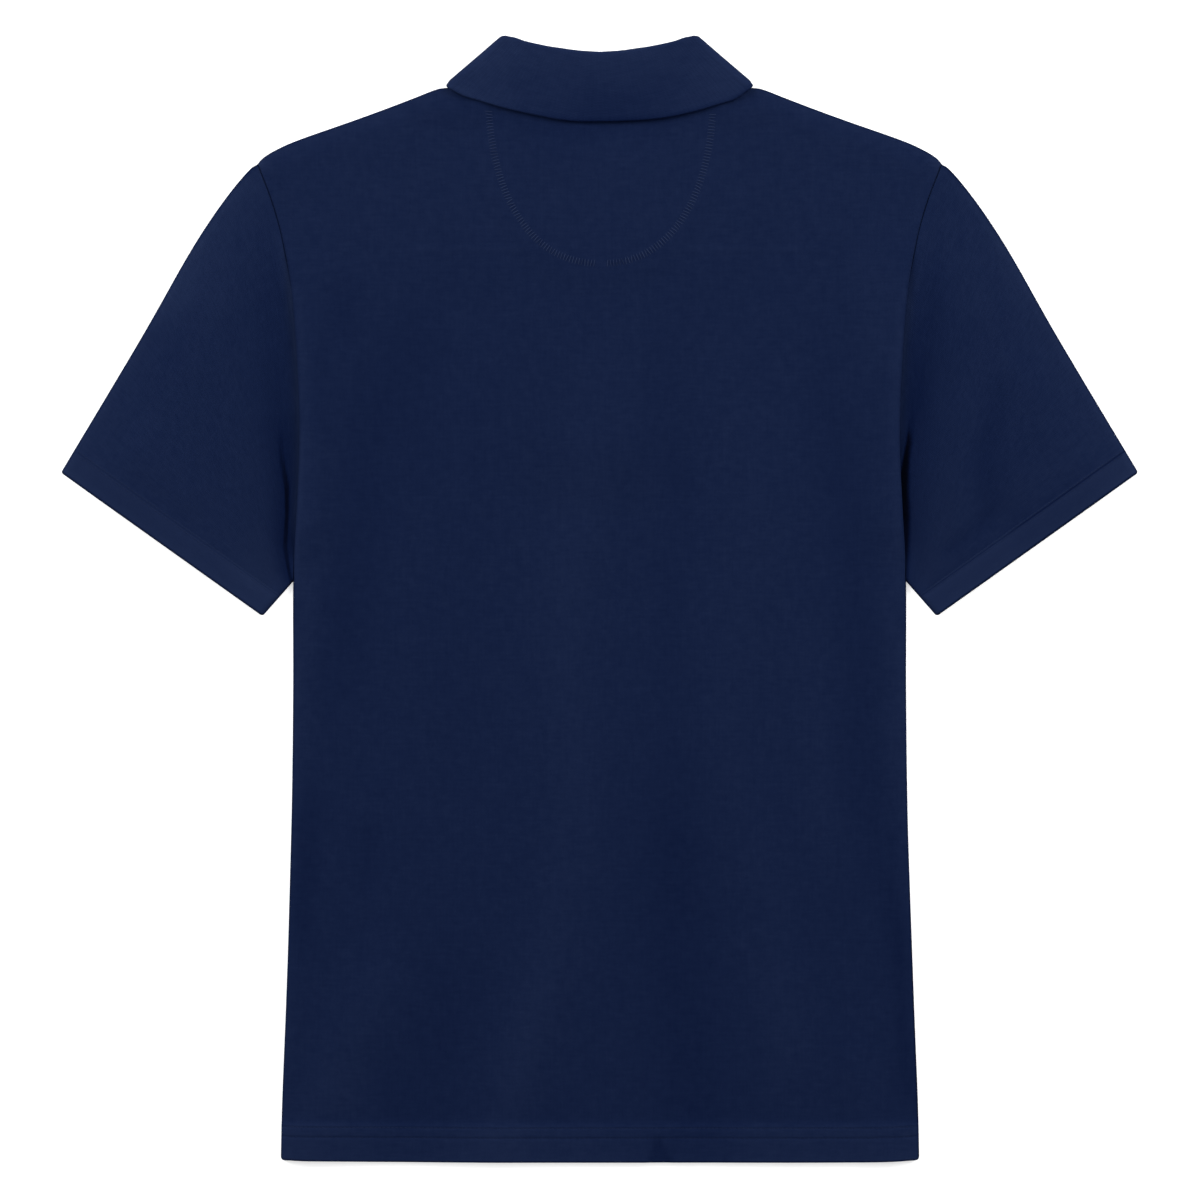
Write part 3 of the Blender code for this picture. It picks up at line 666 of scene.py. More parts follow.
# %% Heights of the back
EDGE_RUN = 14.0
ROLL_LIMIT = 3.4
ROLL_FADE = 60.0
FOLD_FLOOR = -1.2
CREASE_RISE = 0.2
PINCH_SINK = 0.9
ROLL_BULK = 0.8


def back_lower(x, y, from_edge):
    """The back's lower face, and the painted highlight and shade of its folds, at this distance
    inside its edges.
    """
    patch = (PATCH + SEAM) * (1 - ease((moon_radius(x, y) - 1) / MOON_RUN))
    clear = ease((from_neck(x, y) - ROLL_FADE) / ROLL_FADE)
    folds, tone = fold_sum(BACK_FOLDS, x, y)
    folds = np.clip(folds * clear, FOLD_FLOOR, ROLL_LIMIT)
    loose = AIR + patch + folds + CREASE_RISE * yoke_crease(x, y)
    return floor_rise(x, y) + CLOTH + SEAM + ease(from_edge / EDGE_RUN) * loose, tone * clear


def back_heights(x, y, row_y, from_side, from_top, from_hem):
    """Lower and upper face of the back, and the painted highlight and shade of its folds."""
    from_edge = np.minimum(from_side, np.where(np.abs(x) > NECK_X, from_top, EDGE_RUN))
    low, tone = back_lower(x, y, from_edge)
    lifted = armhole_lift(row_y)
    pinch = PINCH_SINK * hem_pinch(x, y) * ease(from_edge / EDGE_RUN)
    low = low + hem_turn(row_y) + lifted * bell(from_side, LIFT_RUN) - pinch
    wall = CLOTH + hem_turn(row_y) + ROLL_BULK * lifted / LIFT * bell(from_side, 5.0)
    side_round = np.where(y > UNDERARM_Y, ARMHOLE_ROUND, EDGE_ROUND) + ROLL_ROUND * lifted / LIFT
    top = low + wall - hem_grooves(row_y) - rounded_off(wall, from_side, side_round)
    top = top - rounded_off(wall, np.minimum(from_hem, from_top), EDGE_ROUND)
    return low, top, tone


# %% [markdown]
# ## Light and dark of the back
#
# Light and shade are painted into the cloth's colour here: painted highlights on the sides, the
# shoulders, the crease and the hem's band, painted shade along the seams, in the hem's pinch,
# under the collar's leaf and towards the hem, and a thin painted dark line at every edge. These
# tones could be painted by hand. Here each is a soft bell or step at its own distance from the
# hem, the sides, the shoulders or the collar, so that it stays sharp in a close view and follows
# its edge.

# %% Tone of the back
KNIT_TONE = 0.08
# Painted shade on the hem's stitched line, and a painted highlight near its edge.
HEM_TONES = [(HEM_STITCHES[0], 0.9, -0.05), (2.8, 1.5, 0.14)]  # from the hem, width, strength
FAR = 50.0  # further from an edge than any tone reaches


def hem_tone(x, from_hem):
    """The turned band's painted highlight, a little duller right of its middle, with painted shade
    on its stitched line and a painted highlight near its edge.
    """
    tone = on_band(from_hem) * (0.36 - 0.16 * bell(x - 45, 45))
    for spot, width, strength in HEM_TONES:
        tone = tone + strength * bell(from_hem - spot, width)
    return tone


def side_tone(x, y, from_side):
    """Painted highlight on the sides of the body and on the rolled edge behind the armhole seams,
    and painted shade along the seams.
    """
    body = 0.34 * bell(from_side, 5) * ease(-y / 40) * (1 - 0.6 * ease((-y - 300) / 30))
    left, right = 0.22 * bell(from_side - 3.5, 4.5), 0.26 * bell(from_side - 4, 4)
    armhole = np.where(x < 0, left, right) * ease((y + 5) / 15) * ease((235 - y) / 40)
    left, right = 0.30 - 0.3 * ease((y - 235) / 20), 0.38 - 0.42 * ease((y - 200) / 25)
    seam = np.where(x > 0, right, left) * bell(from_side, 0.7) * ease((292 - y) / 18)
    roll = 0.3 * bell(from_side - 1.5, 2) * (x < 0) * ease((120 - y) / 25) * ease((y - 12) / 4)
    return body + armhole - seam * (y > UNDERARM_Y) + roll


def shoulder_tone(x, y, from_top):
    """Painted highlight along the shoulder seams, most at their outer points, and over the yoke."""
    seam = 0.30 * bell(from_top - 2, 3.5) * (np.abs(x) > NECK_X)
    point = 0.7 * bell(np.hypot(np.abs(x) - SHOULDER_X + 2, y - SHOULDER_Y), 6)
    return seam + point + 0.10 * ease((y - 215) / 50)


def leaf_tone(x, y):
    """The shadow under the collar's leaf and below it."""
    below = leaf_edge_y(x) - y
    contact = 0.3 * ease((x - 10) / 40) * ease((1.4 - below) / 1.4)
    soft = 0.24 + 0.16 * bell(x + 8, 36) - 0.16 * ease((x - 50) / 20)
    patch = 0.15 * bell(x + 28, 20) * bell(y - 303, 16)
    return -(1 - ease((np.abs(x) - 90) / 14)) * (contact + soft * bell(below, 13)) - patch


def outline_tone(x, y, from_side, from_top, from_hem):
    """A thin painted dark line round the hem, the shoulders and the sides below the sleeves, and
    painted shade growing towards the hem.
    """
    shoulder = np.where(np.abs(x) > NECK_X, from_top, FAR)
    side = np.where(y < UNDERARM_Y, from_side, FAR)
    nearest = np.minimum(np.minimum(from_hem, shoulder), side)
    return -RIM_TONE * bell(nearest, RIM_WIDTH) - 0.12 * ease((60 - y) / 320)


# %% Make the back
BACK_STEP = 3.1


def back_faces(share, row_y):
    """Plan, lower and upper face of the back, and its tone of painted highlight and shade."""
    x, y = body_plan(share, row_y, back_top_y)
    from_side, from_top, from_hem = edge_distance(x, y, row_y, back_top_y)
    low, top, tone = back_heights(x, y, row_y, from_side, from_top, from_hem)
    # Painted shade in the hem's pinch and a painted highlight along the crease, added to the folds'
    # painted tone.
    tone = tone + KNIT_TONE - 0.6 * hem_pinch(x, y) + 0.16 * yoke_crease(x, y)
    tone = tone + hem_tone(x, from_hem) + side_tone(x, y, from_side)
    tone = tone + shoulder_tone(x, y, from_top) + leaf_tone(x, y)
    return x, y, low, top, tone + outline_tone(x, y, from_side, from_top, from_hem)


row_y = rows_of_body(BACK_STEP)[:, None]
share = columns_of_body(BACK_STEP)[None, :]
x, y, low, top, tone = back_faces(share, row_y)
back_cloth = lay_cloth("back_cloth", stacked(x, y, top), stacked(x, y, low), stacked(x, y), tone)

# %% [markdown]
# ## The front
#
# It lies face down on the table, so its outer face is the lower one. It has the same sides as the
# back, a deeper neck and a slit down the middle for the placket. It only shows from below and at
# the edges, so its grid is wider.

# %% Make the front
FRONT_STEP = 4.2
SLIT_X = 13.0
SLIT_Y = 120.0
CLEAR_OF_SLIT = 0.008


def front_faces(share, row_y):
    """Plan, lower and upper face and tone of the front."""
    x, y = body_plan(share, row_y, front_top_y)
    from_side, from_top, from_hem = edge_distance(x, y, row_y, front_top_y)
    near = np.minimum(np.minimum(from_side, from_top), from_hem)
    low = floor_rise(x, y)
    wall = CLOTH + hem_turn(row_y)
    groove = np.minimum(hem_grooves(row_y), wall / 2)
    # Painted highlight on the turned hem's band and a painted dark line at every edge.
    tone = 0.35 * on_band(from_hem) - RIM_TONE * bell(near, RIM_WIDTH)
    return x, y, low + rounded_off(wall, near, EDGE_ROUND) + groove, low + wall, tone


row_y = rows_of_body(FRONT_STEP)[:, None]
half = columns_of_body(FRONT_STEP)
slit = SLIT_X / WAIST_X
half = half[np.abs(np.abs(half) - slit) > CLEAR_OF_SLIT]
share = np.unique(np.concatenate([half, [-slit, slit]]))[None, :]
x, y, low, top, tone = front_faces(share, row_y)
middle_x = (x[:-1, :-1] + x[1:, 1:]) / 2
middle_y = (y[:-1, :-1] + y[1:, 1:]) / 2
is_cloth = (np.abs(middle_x) > SLIT_X) | (middle_y < SLIT_Y)
front_cloth = lay_cloth(
    "front_cloth", stacked(x, y, top), stacked(x, y, low), stacked(x, y), tone, keep=is_cloth
)

# %% [markdown]
# ## The sleeves
#
# A sleeve laid flat is a squashed tube. It is folded along its top edge and along the short
# underarm edge, and open at the armhole and at the hem. So its grid goes once round the tube:
# over the top fold, down the upper layer, round the underarm and back along the lower layer. The
# upper layer's armhole edge is tucked in under the back's rolled edge and sinks there, which
# leaves the deep shadow that a loosely laid sleeve has, and painted shade makes it deeper.

# %% Sleeve sizes
SLEEVE_TOP = [
    (SHOULDER_X, SHOULDER_Y), (236.4, 289.6), (248.0, 276.1), (262.7, 255.8), (279.6, 228.8),
    (310.2, 174.8), (363.6, 85.3),
]
SLEEVE_CORNER = (227.4, -11.6)
SLEEVE_BAND = 18.4
SLEEVE_WIDTH = 237.0
SLEEVE_EDGE = 3.4
SLEEVE_LENGTH = line_length(smooth_curve(SLEEVE_TOP))
ARMHOLE_POINTS = 200

# The tone of each sleeve fold is painted highlight where it is above 0 and painted shade below.
RIGHT_SLEEVE_FOLDS = [
    Fold([(292, 175), (284, 120), (262, 50)], 15, 1.8, -0.08),
    Fold([(225, 238), (232, 190), (240, 140)], 12, 1.0, -0.08),
    Fold([(243, 150), (242, 90), (238, 40)], 8, 0.8, 0.0),
    Fold([(273, 165), (267, 125), (263, 98), (261, 68), (256, 40)], 8, -0.7, -0.34),
    Fold([(270, 68), (256, 49), (241, 37), (226, 24)], 6.5, -0.8, -0.42),
    Fold([(338, 108), (304, 84), (268, 60)], 12, 0.3, 0.16),
    Fold([(262, 130), (250, 80), (246, 40)], 8, -0.2, -0.15),
]
LEFT_SLEEVE_FOLDS = [
    Fold([(-262, 190), (-272, 130), (-262, 70)], 26, 1.2, -0.02),
    Fold([(-320, 120), (-296, 92), (-262, 58)], 16, 1.0, 0.02),
    Fold([(-302, 235), (-268, 208), (-236, 190)], 24, 0.4, 0.2),
    Fold([(-330, 92), (-318, 82), (-285, 58), (-262, 42)], 4.5, -0.3, -0.06),
    Fold([(-212, 40), (-226, 20), (-246, 4)], 20, 0.4, 0.3),
]


# %% Sleeve plan and height
def sleeve_edges(count):
    """The right sleeve's four edges in plan: armhole, hem, top fold and underarm fold."""
    armhole_y = np.linspace(SHOULDER_Y, UNDERARM_Y, count)
    armhole = stacked(side_x(armhole_y) + SEAM + SEAM_SPARE, armhole_y)
    top = smooth_curve(SLEEVE_TOP)
    top[0] = armhole[0]
    hem = np.array([SLEEVE_TOP[-1], SLEEVE_CORNER])
    underarm = np.array([armhole[-1], SLEEVE_CORNER])
    return armhole, hem, top, underarm


def sleeve_plan(u, v):
    """Plan of the right sleeve: u is 0 at the armhole, 1 at the hem's stitches and 2 at its rim,
    v is 0 on the top fold and 1 on the underarm fold."""
    armhole, hem, top, underarm = sleeve_edges(ARMHOLE_POINTS)
    top_share = 1 - SLEEVE_BAND / line_length(top)
    under_share = 1 - SLEEVE_BAND / line_length(underarm)
    shares = np.linspace(0, 1, ARMHOLE_POINTS)
    start = stacked(*(np.interp(v, shares, armhole[:, axis]) for axis in (0, 1)))
    v = v[None, :, None]
    stitches = along(top, top_share), along(underarm, under_share)
    end = stitches[0] + v * (stitches[1] - stitches[0])
    within = np.minimum(u, 1.0)
    upper = along(top, within * top_share)[:, None]
    lower = along(underarm, within * under_share)[:, None]
    share = within[:, None, None]
    corners = armhole[0] + v * (armhole[-1] - armhole[0])
    plan = upper + v * (lower - upper) + start + share * (end - start)
    plan = plan - corners - share * (end - corners)
    rim = hem[0] + v * (hem[1] - hem[0])
    return plan + np.maximum(u - 1, 0)[:, None, None] * (rim - plan)


# %% Valley and gap behind the armhole
# Each row of a table of painted shade: height on the body, then the shaded valley's centre, width
# and depth, and the dark gap's start, end and depth, all counted away from the armhole.
RIGHT_HOLLOW = [
    (8, 6, 6, 0.0, -0.5, 0.2, 1.0), (20, 6, 6, 0.0, -0.3, 1.5, 1.5),
    (35, 7, 7, 0.12, 0.0, 2.7, 1.8), (55, 8, 8, 0.25, 0.0, 4.5, 2.1),
    (75, 9, 9, 0.35, 0.4, 4.8, 2.5), (95, 9, 12, 0.4, 3.9, 6.2, 2.5),
    (106, 9.5, 12, 0.48, 5.7, 7.8, 2.0), (117, 10, 12, 0.58, 6.6, 8.8, 0.6),
    (130, 9, 12, 0.8, 8.5, 10.0, 0.0), (150, 11, 11, 0.65, 9.0, 10.0, 0.0),
    (175, 12, 11, 0.36, 9.0, 10.0, 0.0), (200, 16, 10, 0.28, 9.0, 10.0, 0.0),
    (225, 17, 8, 0.16, 9.0, 10.0, 0.0), (242, 17, 8, 0.0, 9.0, 10.0, 0.0),
]
LEFT_HOLLOW = [
    (8, 1.5, 3, 0.7, 0.0, 1.0, 0.8), (20, 4.5, 6, 1.0, 2.4, 4.0, 1.1),
    (35, 6.5, 8, 1.0, 5.2, 7.6, 0.8), (55, 6.5, 8.5, 1.0, 5.4, 7.2, 1.2),
    (75, 7.5, 9.5, 0.95, 6.2, 8.6, 1.1), (95, 9.5, 10.5, 0.85, 10.4, 13.4, 0.6),
    (115, 11, 13, 0.72, 12.3, 14.5, 0.15), (130, 13, 12, 0.45, 12.5, 13.7, 0.0),
    (150, 14, 12, 0.36, 12.5, 13.7, 0.0), (175, 12, 11, 0.26, 12.5, 13.7, 0.0),
    (200, 12, 10, 0.20, 12.5, 13.7, 0.0), (225, 5, 8, 0.12, 12.5, 13.7, 0.0),
    (242, 5, 8, 0.0, 12.5, 13.7, 0.0),
]
BELOW_GAP = 1.4
Light = namedtuple("Light", "table fade bright centre width low run high")
ARMHOLE_LIGHT = {
    1: Light(RIGHT_HOLLOW, 4.0, 0.85, 2.0, 3.2, 95, 35, 180),
    -1: Light(LEFT_HOLLOW, 1.6, 1.3, 0.8, 3.4, 35, 25, 205),
}


def armhole_shadow(side, y, from_armhole):
    """Painted shade behind the back's rolled edge: a soft valley and a dark gap where the sleeve
    sinks, and a painted highlight further up."""
    light = ARMHOLE_LIGHT[side]
    table = np.array(light.table)
    centre, width, depth, start, end, dark = (
        np.interp(y, table[:, 0], column) for column in table[:, 1:].T)
    valley = depth * bell(from_armhole - centre, width)
    gap = ease((from_armhole - start + BELOW_GAP) / BELOW_GAP)
    gap = gap * ease((end + light.fade / 2 - from_armhole) / light.fade)
    bright = light.bright * bell(from_armhole - light.centre, light.width)
    bright = bright * ease((y - light.low) / light.run) * (1 - ease((y - light.high) / 50))
    return bright - (valley + dark * gap) * ease((y - 8) / 5)


# %% Upper face of a sleeve
SLEEVE_CROWN = 2.4
CROWN_RUN = 38.0
RECESS_RUN = 45.0
SLEEVE_ROLL_RUN = 22.0
SINK = 0.8
SINK_RUN = 9.0


def sleeve_top_tone(side, y, from_top):
    """Painted highlight on the sleeve's folded top edge and painted shade on the cloth below it."""
    dull = 0.28 * ease((from_top - 9) / 14) * (1 - 0.6 * ease((y - 215) / 20))
    tone = 0.24 * bell(from_top - 10, 20) - dull
    tone = tone + (0.55 - 0.3 * ease((y - 270) / 10)) * bell(from_top - 2.2, 3.6)
    if side > 0:
        tone = tone - 0.14 * ease((from_top - 18) / 14) * ease((200 - y) / 20)
        return tone + 0.24 * bell(from_top, 12) * bell(y - 222, 24)
    return tone + 0.34 * bell(from_top, 24) * ease((y - 175) / 25) * ease((292 - y) / 10)


def sleeve_upper(plan, folds, side):
    """Height and tone of the sleeve's upper face."""
    armhole, _, top, _ = sleeve_edges(60)
    x, y = plan[..., 0], plan[..., 1]
    from_top = distance_to(top, x, y)
    from_armhole = distance_to(armhole, x, y)
    crown = SLEEVE_CROWN * ease(from_top / CROWN_RUN) * ease(from_armhole / RECESS_RUN)
    inner = ease(from_top / SLEEVE_ROLL_RUN) * ease(from_armhole / SLEEVE_ROLL_RUN)
    height, tone = fold_sum(folds, side * x, y)
    sink = SINK * armhole_lift(y) / LIFT * bell(from_armhole, SINK_RUN)
    # The folds' painted tone, the top edge's painted highlight and the armhole's painted shade.
    tone = tone + sleeve_top_tone(side, y, from_top) + armhole_shadow(side, y, from_armhole)
    return SLEEVE_EDGE + crown + height * inner - sink, tone


# %% Rows of a sleeve
SEAM_STEPS = (0, 0.25, 0.6, 1.1, 1.8, 2.8, 4.0, 5.4, 7, 8.7, 10.5, 12.5, 14.5, 16.7, 19)
BAND_STEPS = np.array([-2.6, -1.8, -1.2, -0.8, -0.4, 0.0, 0.4, 0.8, 1.2, 1.8, 2.6])
RIM_STEPS = np.array([2.0, 1.3, 0.7, 0.3, 0.0])
LONG_ROWS = 62


def sleeve_rows():
    """Where the rows lie: 0 at the armhole, 1 at the hem's stitches and 2 at its rim."""
    return np.concatenate([
        np.array(SEAM_STEPS) / SLEEVE_LENGTH,
        np.linspace(22 / SLEEVE_LENGTH, 1 - 3.4 / SLEEVE_LENGTH, LONG_ROWS),
        1 + BAND_STEPS / np.where(BAND_STEPS < 0, SLEEVE_LENGTH, SLEEVE_BAND),
        1 + np.linspace(5.0, 12.0, 4) / SLEEVE_BAND,
        2 - RIM_STEPS / SLEEVE_BAND,
    ])


# %% Tone of the sleeve's hem and edges
def sleeve_hem_tone(side, across, rim, turned, groove):
    """Painted highlight and shade of the hem: its band, its stitched groove, the cloth above it and
    its rim.

    across is 0 on the top fold and 1 at the underarm, rim is the distance from the rim, and
    turned is 1 where the cloth is turned in."""
    above = bell(rim - 26, 12) * ease(across * 5)
    if side > 0:
        lower = ease((across - 0.5) * 8)
        band = (0.80 + 0.2 * lower - 0.4 * (1 - ease(across * 6))) * turned
        above = above * (0.64 - 0.10 * across) + 0.26 * lower * bell(rim - 22, 4.5)
        dark = 1.6 - 0.6 * ease((across - 0.45) * 6)
        light, outline = 0.75, 2.6
    else:
        band = 0.72 + 0.25 * across - 0.4 * (1 - ease(across * 8))
        band = band * (0.5 * turned + 0.5 * ease((27 - rim) / 15))
        above = above * 0.46
        dark, light, outline = 0.3, 0.65, 2.2
    edge = light * bell(rim - 3.0, 2.2) - outline * bell(rim, 1.3)
    return band + above - dark * groove + edge


def sleeve_edge_tone(across, folded, from_seam):
    """Thin painted dark lines on the folds and along the armhole seam."""
    return -1.9 * bell(folded, 1.2) - 0.4 * bell(from_seam, 0.7) * ease((across - 0.06) * 8)


# %% One face of a sleeve
SLEEVE_STATIONS = 8
TUCK = 2.2
TUCK_START = 0.22
TUCK_END = 0.92
TUCK_GROWTH = 0.2
TUCK_FADE = 0.12
SLEEVE_TURN = 17.3
SLEEVE_GROOVE = 0.65
CORNER_ROUND = 1.7
FOLD_TURNS = 9
FLAT_COLUMNS = 76
UNDERSIDE_TONE = 0.1
CORNER_RUN = 14.0
SEAM_GAP = SEAM + SEAM_SPARE - 0.04
SEAM_GAP_RUN = 4.0
HEM_WAY = unit(np.array(SLEEVE_CORNER) - np.array(SLEEVE_TOP[-1]))


def sleeve_face(side, folds, wall):
    """Places and tone of one face of the tube, this far inside its outer face."""
    turns = np.linspace(0, math.pi, FOLD_TURNS)
    flat = np.linspace(0, 1, FLAT_COLUMNS + 2)[1:-1]
    bend = SLEEVE_EDGE / 2 - wall
    fold_v = (wall + bend * (1 - np.sin(turns))) / SLEEVE_WIDTH
    v = np.concatenate([fold_v, flat, 1 - fold_v, flat[::-1], fold_v[:1]])
    stops = np.cumsum([0, FOLD_TURNS, FLAT_COLUMNS, FOLD_TURNS, FLAT_COLUMNS])
    top_fold, upper, underarm, lower = (slice(*pair) for pair in zip(stops, stops[1:]))
    u = sleeve_rows()
    plan = sleeve_plan(u, v)
    z, tone = sleeve_upper(plan, folds, side)
    z = z - wall
    fold = SLEEVE_EDGE / 2 - bend * np.cos(turns)
    rise = turns / math.pi
    z[:, top_fold] = fold + (z[:, top_fold][:, -1:] - fold[-1]) * rise
    z[:, underarm] = fold[::-1] + (z[:, underarm][:, :1] - fold[-1]) * rise[::-1]
    z[:, lower] = wall
    z[:, -1] = z[:, 0]
    tone[:, lower] = UNDERSIDE_TONE
    from_seam = (u * SLEEVE_LENGTH)[:, None]
    rim = (2 - u)[:, None] * SLEEVE_BAND
    turned = ease((from_seam - SLEEVE_LENGTH + 2) / 4)
    groove = bell(rim - SLEEVE_TURN, SLEEVE_GROOVE)
    if wall == 0:
        worn = rounded_off(CLOTH + HEM_TURN, rim, 1.5) + rounded_off(CLOTH, from_seam, 0.8)
        z[:, upper] += HEM_TURN * turned - 0.4 * groove - worn
        z[:, lower] += 0.35 * groove + rounded_off(CLOTH, rim, 1.2)
    across = v[None, :]
    folded = np.minimum(across, 1 - across) * SLEEVE_WIDTH
    tone = tone + sleeve_hem_tone(side, across, rim, turned, groove)
    tone = tone + sleeve_edge_tone(across, folded, from_seam)
    tuck = TUCK * ease((v - TUCK_START) / TUCK_GROWTH) * ease((TUCK_END - v) / TUCK_FADE)
    near_body = np.maximum(1 - u * SLEEVE_STATIONS, 0)[:, None]
    plan[:, upper, 0] -= (near_body * tuck)[:, upper]
    plan[..., 0] -= SEAM_GAP * np.maximum(1 - from_seam / SEAM_GAP_RUN, 0)
    pulled = rounded_off(CORNER_ROUND, rim, CORNER_ROUND) * np.maximum(1 - folded / CORNER_RUN, 0)
    plan = plan + (pulled * np.where(across < 0.5, 1, -1))[..., None] * HEM_WAY
    return stacked(side * plan[..., 0], plan[..., 1], z), tone


# %% Make the sleeves
def make_sleeve(name, side, folds):
    """A sleeve, sewn to itself at its underarm; side is 1 for the right and -1 for the left."""
    outer, tone = sleeve_face(side, folds, 0.0)
    inner, _ = sleeve_face(side, folds, CLOTH)
    around = walked(outer[len(outer) // 2])
    flat = stacked(around, (sleeve_rows() * SLEEVE_LENGTH)[:, None])
    return lay_cloth(name, outer, inner, flat, tone, closed=True)


sleeve_right_cloth = make_sleeve("sleeve_right_cloth", 1, RIGHT_SLEEVE_FOLDS)
sleeve_left_cloth = make_sleeve("sleeve_left_cloth", -1, LEFT_SLEEVE_FOLDS)

# %% [markdown]
# ## The collar
#
# A polo collar is one strip of flat-knit rib. It stands up from the neck seam, folds over along a
# line and falls as a leaf with two points. Laid on its front, the shirt shows the back of the
# leaf at the top, and the two points lie flat underneath. Its grid has a row for every line along
# the strip and a column for every rib, from centre front round the neck to centre front.

# %% Collar sizes
STAND_Z_BACK = 6.9
STAND_Z_FRONT = 2.9
STAND_Z_CENTRE_FRONT = 4.9
LEAF_Z_BACK = 10.2
LEAF_Z_BACK_EDGE = 9.5
LEAF_Z_FRONT = 0.86
LEAF_BEND = 4.67
CENTRE_FRONT_X = 1.6
SIDE_PULL_POWER = 5
STAND_SIDE = np.array([85.6, 354.8])
SIDE_OUTWARD = np.array([0.657, 0.754])
FOLD_OUTWARD = np.array([1.0, 0.0])
FOLD_BACK = [
    (0, 366.1), (14, 367.0), (27, 368.8), (36.5, 370.4), (51, 373.9), (60, 376.9), (67.2, 378.2),
]
FOLD_FRONT = [(67.2, 378.2), (57, 346), (34, 313), (2, 297)]
LEAF_FRONT = [LEAF_BACK[-1], (90, 310), (56, 240)]
SIDE_PULL = 0.4
CORNER_PULL = 0.1
TIP_PULL = 1.0
BACK_RIBS = 64
FRONT_RIBS = 56
BEND_RIBS = 16


# %% Lines of the collar
def drawn(count):
    """How far each column is drawn towards the bend at the side of the neck."""
    return np.linspace(0, 1, count)[:, None] ** SIDE_PULL_POWER


DRAWN = np.vstack([drawn(BACK_RIBS), drawn(FRONT_RIBS)[::-1]])


def neck_seam(back_x, front_x):
    """The seam's line: along the back's neck from its centre, then along the front's."""
    back = stacked(back_x, back_top_y(back_x) + SEAM + SEAM_SPARE)
    front = stacked(front_x, front_top_y(front_x))
    front = front + unit(np.array([0.0, NECK_Y]) - front) * (SEAM + 2 * SEAM_SPARE)
    seam = np.vstack([back, front]) + DRAWN * LEAF_BEND * SIDE_OUTWARD
    seam[BACK_RIBS - 1 : BACK_RIBS + 1] = STAND_SIDE
    return seam


def collar_row(line, z, from_fold):
    """One line along the collar: centre back, a round bend at the side, centre front.

    from_fold is 0 on the fold line, where the bend points sideways, and 1 away from it."""
    turned = 1 - ease(from_fold / 0.4)
    outward_way = unit(SIDE_OUTWARD + turned * (FOLD_OUTWARD - SIDE_OUTWARD))
    pull = SIDE_PULL + CORNER_PULL * (1 - ease(from_fold / 0.15))
    pull = pull + TIP_PULL * ease((from_fold - 0.9) / 0.1)
    last, first = BACK_RIBS - 1, BACK_RIBS
    middle, radius = (z[last] + z[first]) / 2, (z[last] - z[first]) / 2
    bend = np.linspace(0, math.pi, BEND_RIBS + 1)[1:-1]
    outward = ((radius - pull) * np.sin(bend) - LEAF_BEND)[:, None] * outward_way
    plan = line - DRAWN * LEAF_BEND * outward_way
    plan = np.vstack([plan[:first], (line[last] + line[first]) / 2 + outward, plan[first:]])
    heights = np.concatenate([z[:first], middle + radius * np.cos(bend), z[first:]])
    return np.column_stack([plan, heights])


# %% Half of the collar
def collar_half(stand_shares, turns, leaf_shares):
    """Middle surface of the right half, a row for each line from neck seam to free edge."""
    back, front = np.linspace(0, 1, BACK_RIBS), np.linspace(0, 1, FRONT_RIBS)
    neck = neck_seam(NECK_X * back, NECK_X + (CENTRE_FRONT_X - NECK_X) * front)
    fold, leaf = (
        np.vstack([along(smooth_curve(on_back), back), along(smooth_curve(on_front), front)])
        for on_back, on_front in ((FOLD_BACK, FOLD_FRONT), (LEAF_BACK, LEAF_FRONT))
    )
    front_z = STAND_Z_FRONT + (STAND_Z_CENTRE_FRONT - STAND_Z_FRONT) * front**2
    stand_z = np.concatenate([np.full(BACK_RIBS, STAND_Z_BACK), front_z])
    on_back = np.arange(len(neck)) < BACK_RIBS
    leaf_z = np.where(on_back, LEAF_Z_BACK, LEAF_Z_FRONT)
    leaf_fall = np.where(on_back, LEAF_Z_BACK - LEAF_Z_BACK_EDGE, 0.0)
    rise = (leaf_z - stand_z) / 2
    corner = 1 - np.clip((back - 0.3) / 0.7, 0, 1) ** 2
    corner = np.concatenate([corner, np.ones(FRONT_RIBS)])
    over = unit(fold - neck) * (np.abs(rise) * corner)[:, None]
    rows = [collar_row(neck + share * (fold - neck), stand_z, 1 - share) for share in stand_shares]
    for angle in turns:
        height = stand_z + rise * (1 + math.sin(angle))
        rows.append(collar_row(fold + over * math.cos(angle), height, 0.0))
    for share in leaf_shares:
        rows.append(collar_row(fold + share * (leaf - fold), leaf_z - leaf_fall * share, share))
    return np.array(rows)


def surface_normals(grid):
    return unit(np.cross(np.gradient(grid, axis=0), np.gradient(grid, axis=1)))


# %% Lay out the collar
stand_shares = np.concatenate([[0.0, 0.012, 0.035, 0.075], np.linspace(0.15, 1.0, 9)])
turns = np.linspace(-math.pi / 2, math.pi / 2, 9)[1:-1]
leaf_shares = np.concatenate([np.linspace(0.0, 0.9, 18), [0.925, 0.95, 0.97, 0.984, 0.994, 1.0]])
right = collar_half(stand_shares, turns, leaf_shares)
middle = np.concatenate([right[:, :0:-1] * (-1, 1, 1), right], axis=1)
on_back = ease((middle[..., 2] - 7.5) / 1.5)
leaf_rows = np.arange(len(middle)) - len(stand_shares) - len(turns)
on_leaf = np.clip(leaf_rows / len(leaf_shares), 0, 1)[:, None]
middle[..., 1] -= on_back * on_leaf**2 * leaf_drop(middle[..., 0])
across = walked(middle)
from_free = across[-1] - across
strip = walked(middle[len(stand_shares)])
print(
    "collar strip", round(strip[-1]), "mm on the fold,",
    round(line_length(middle[-1])), "mm on the free edge,",
    across[-1].min().round(), "to", across[-1].max().round(), "mm wide",
)

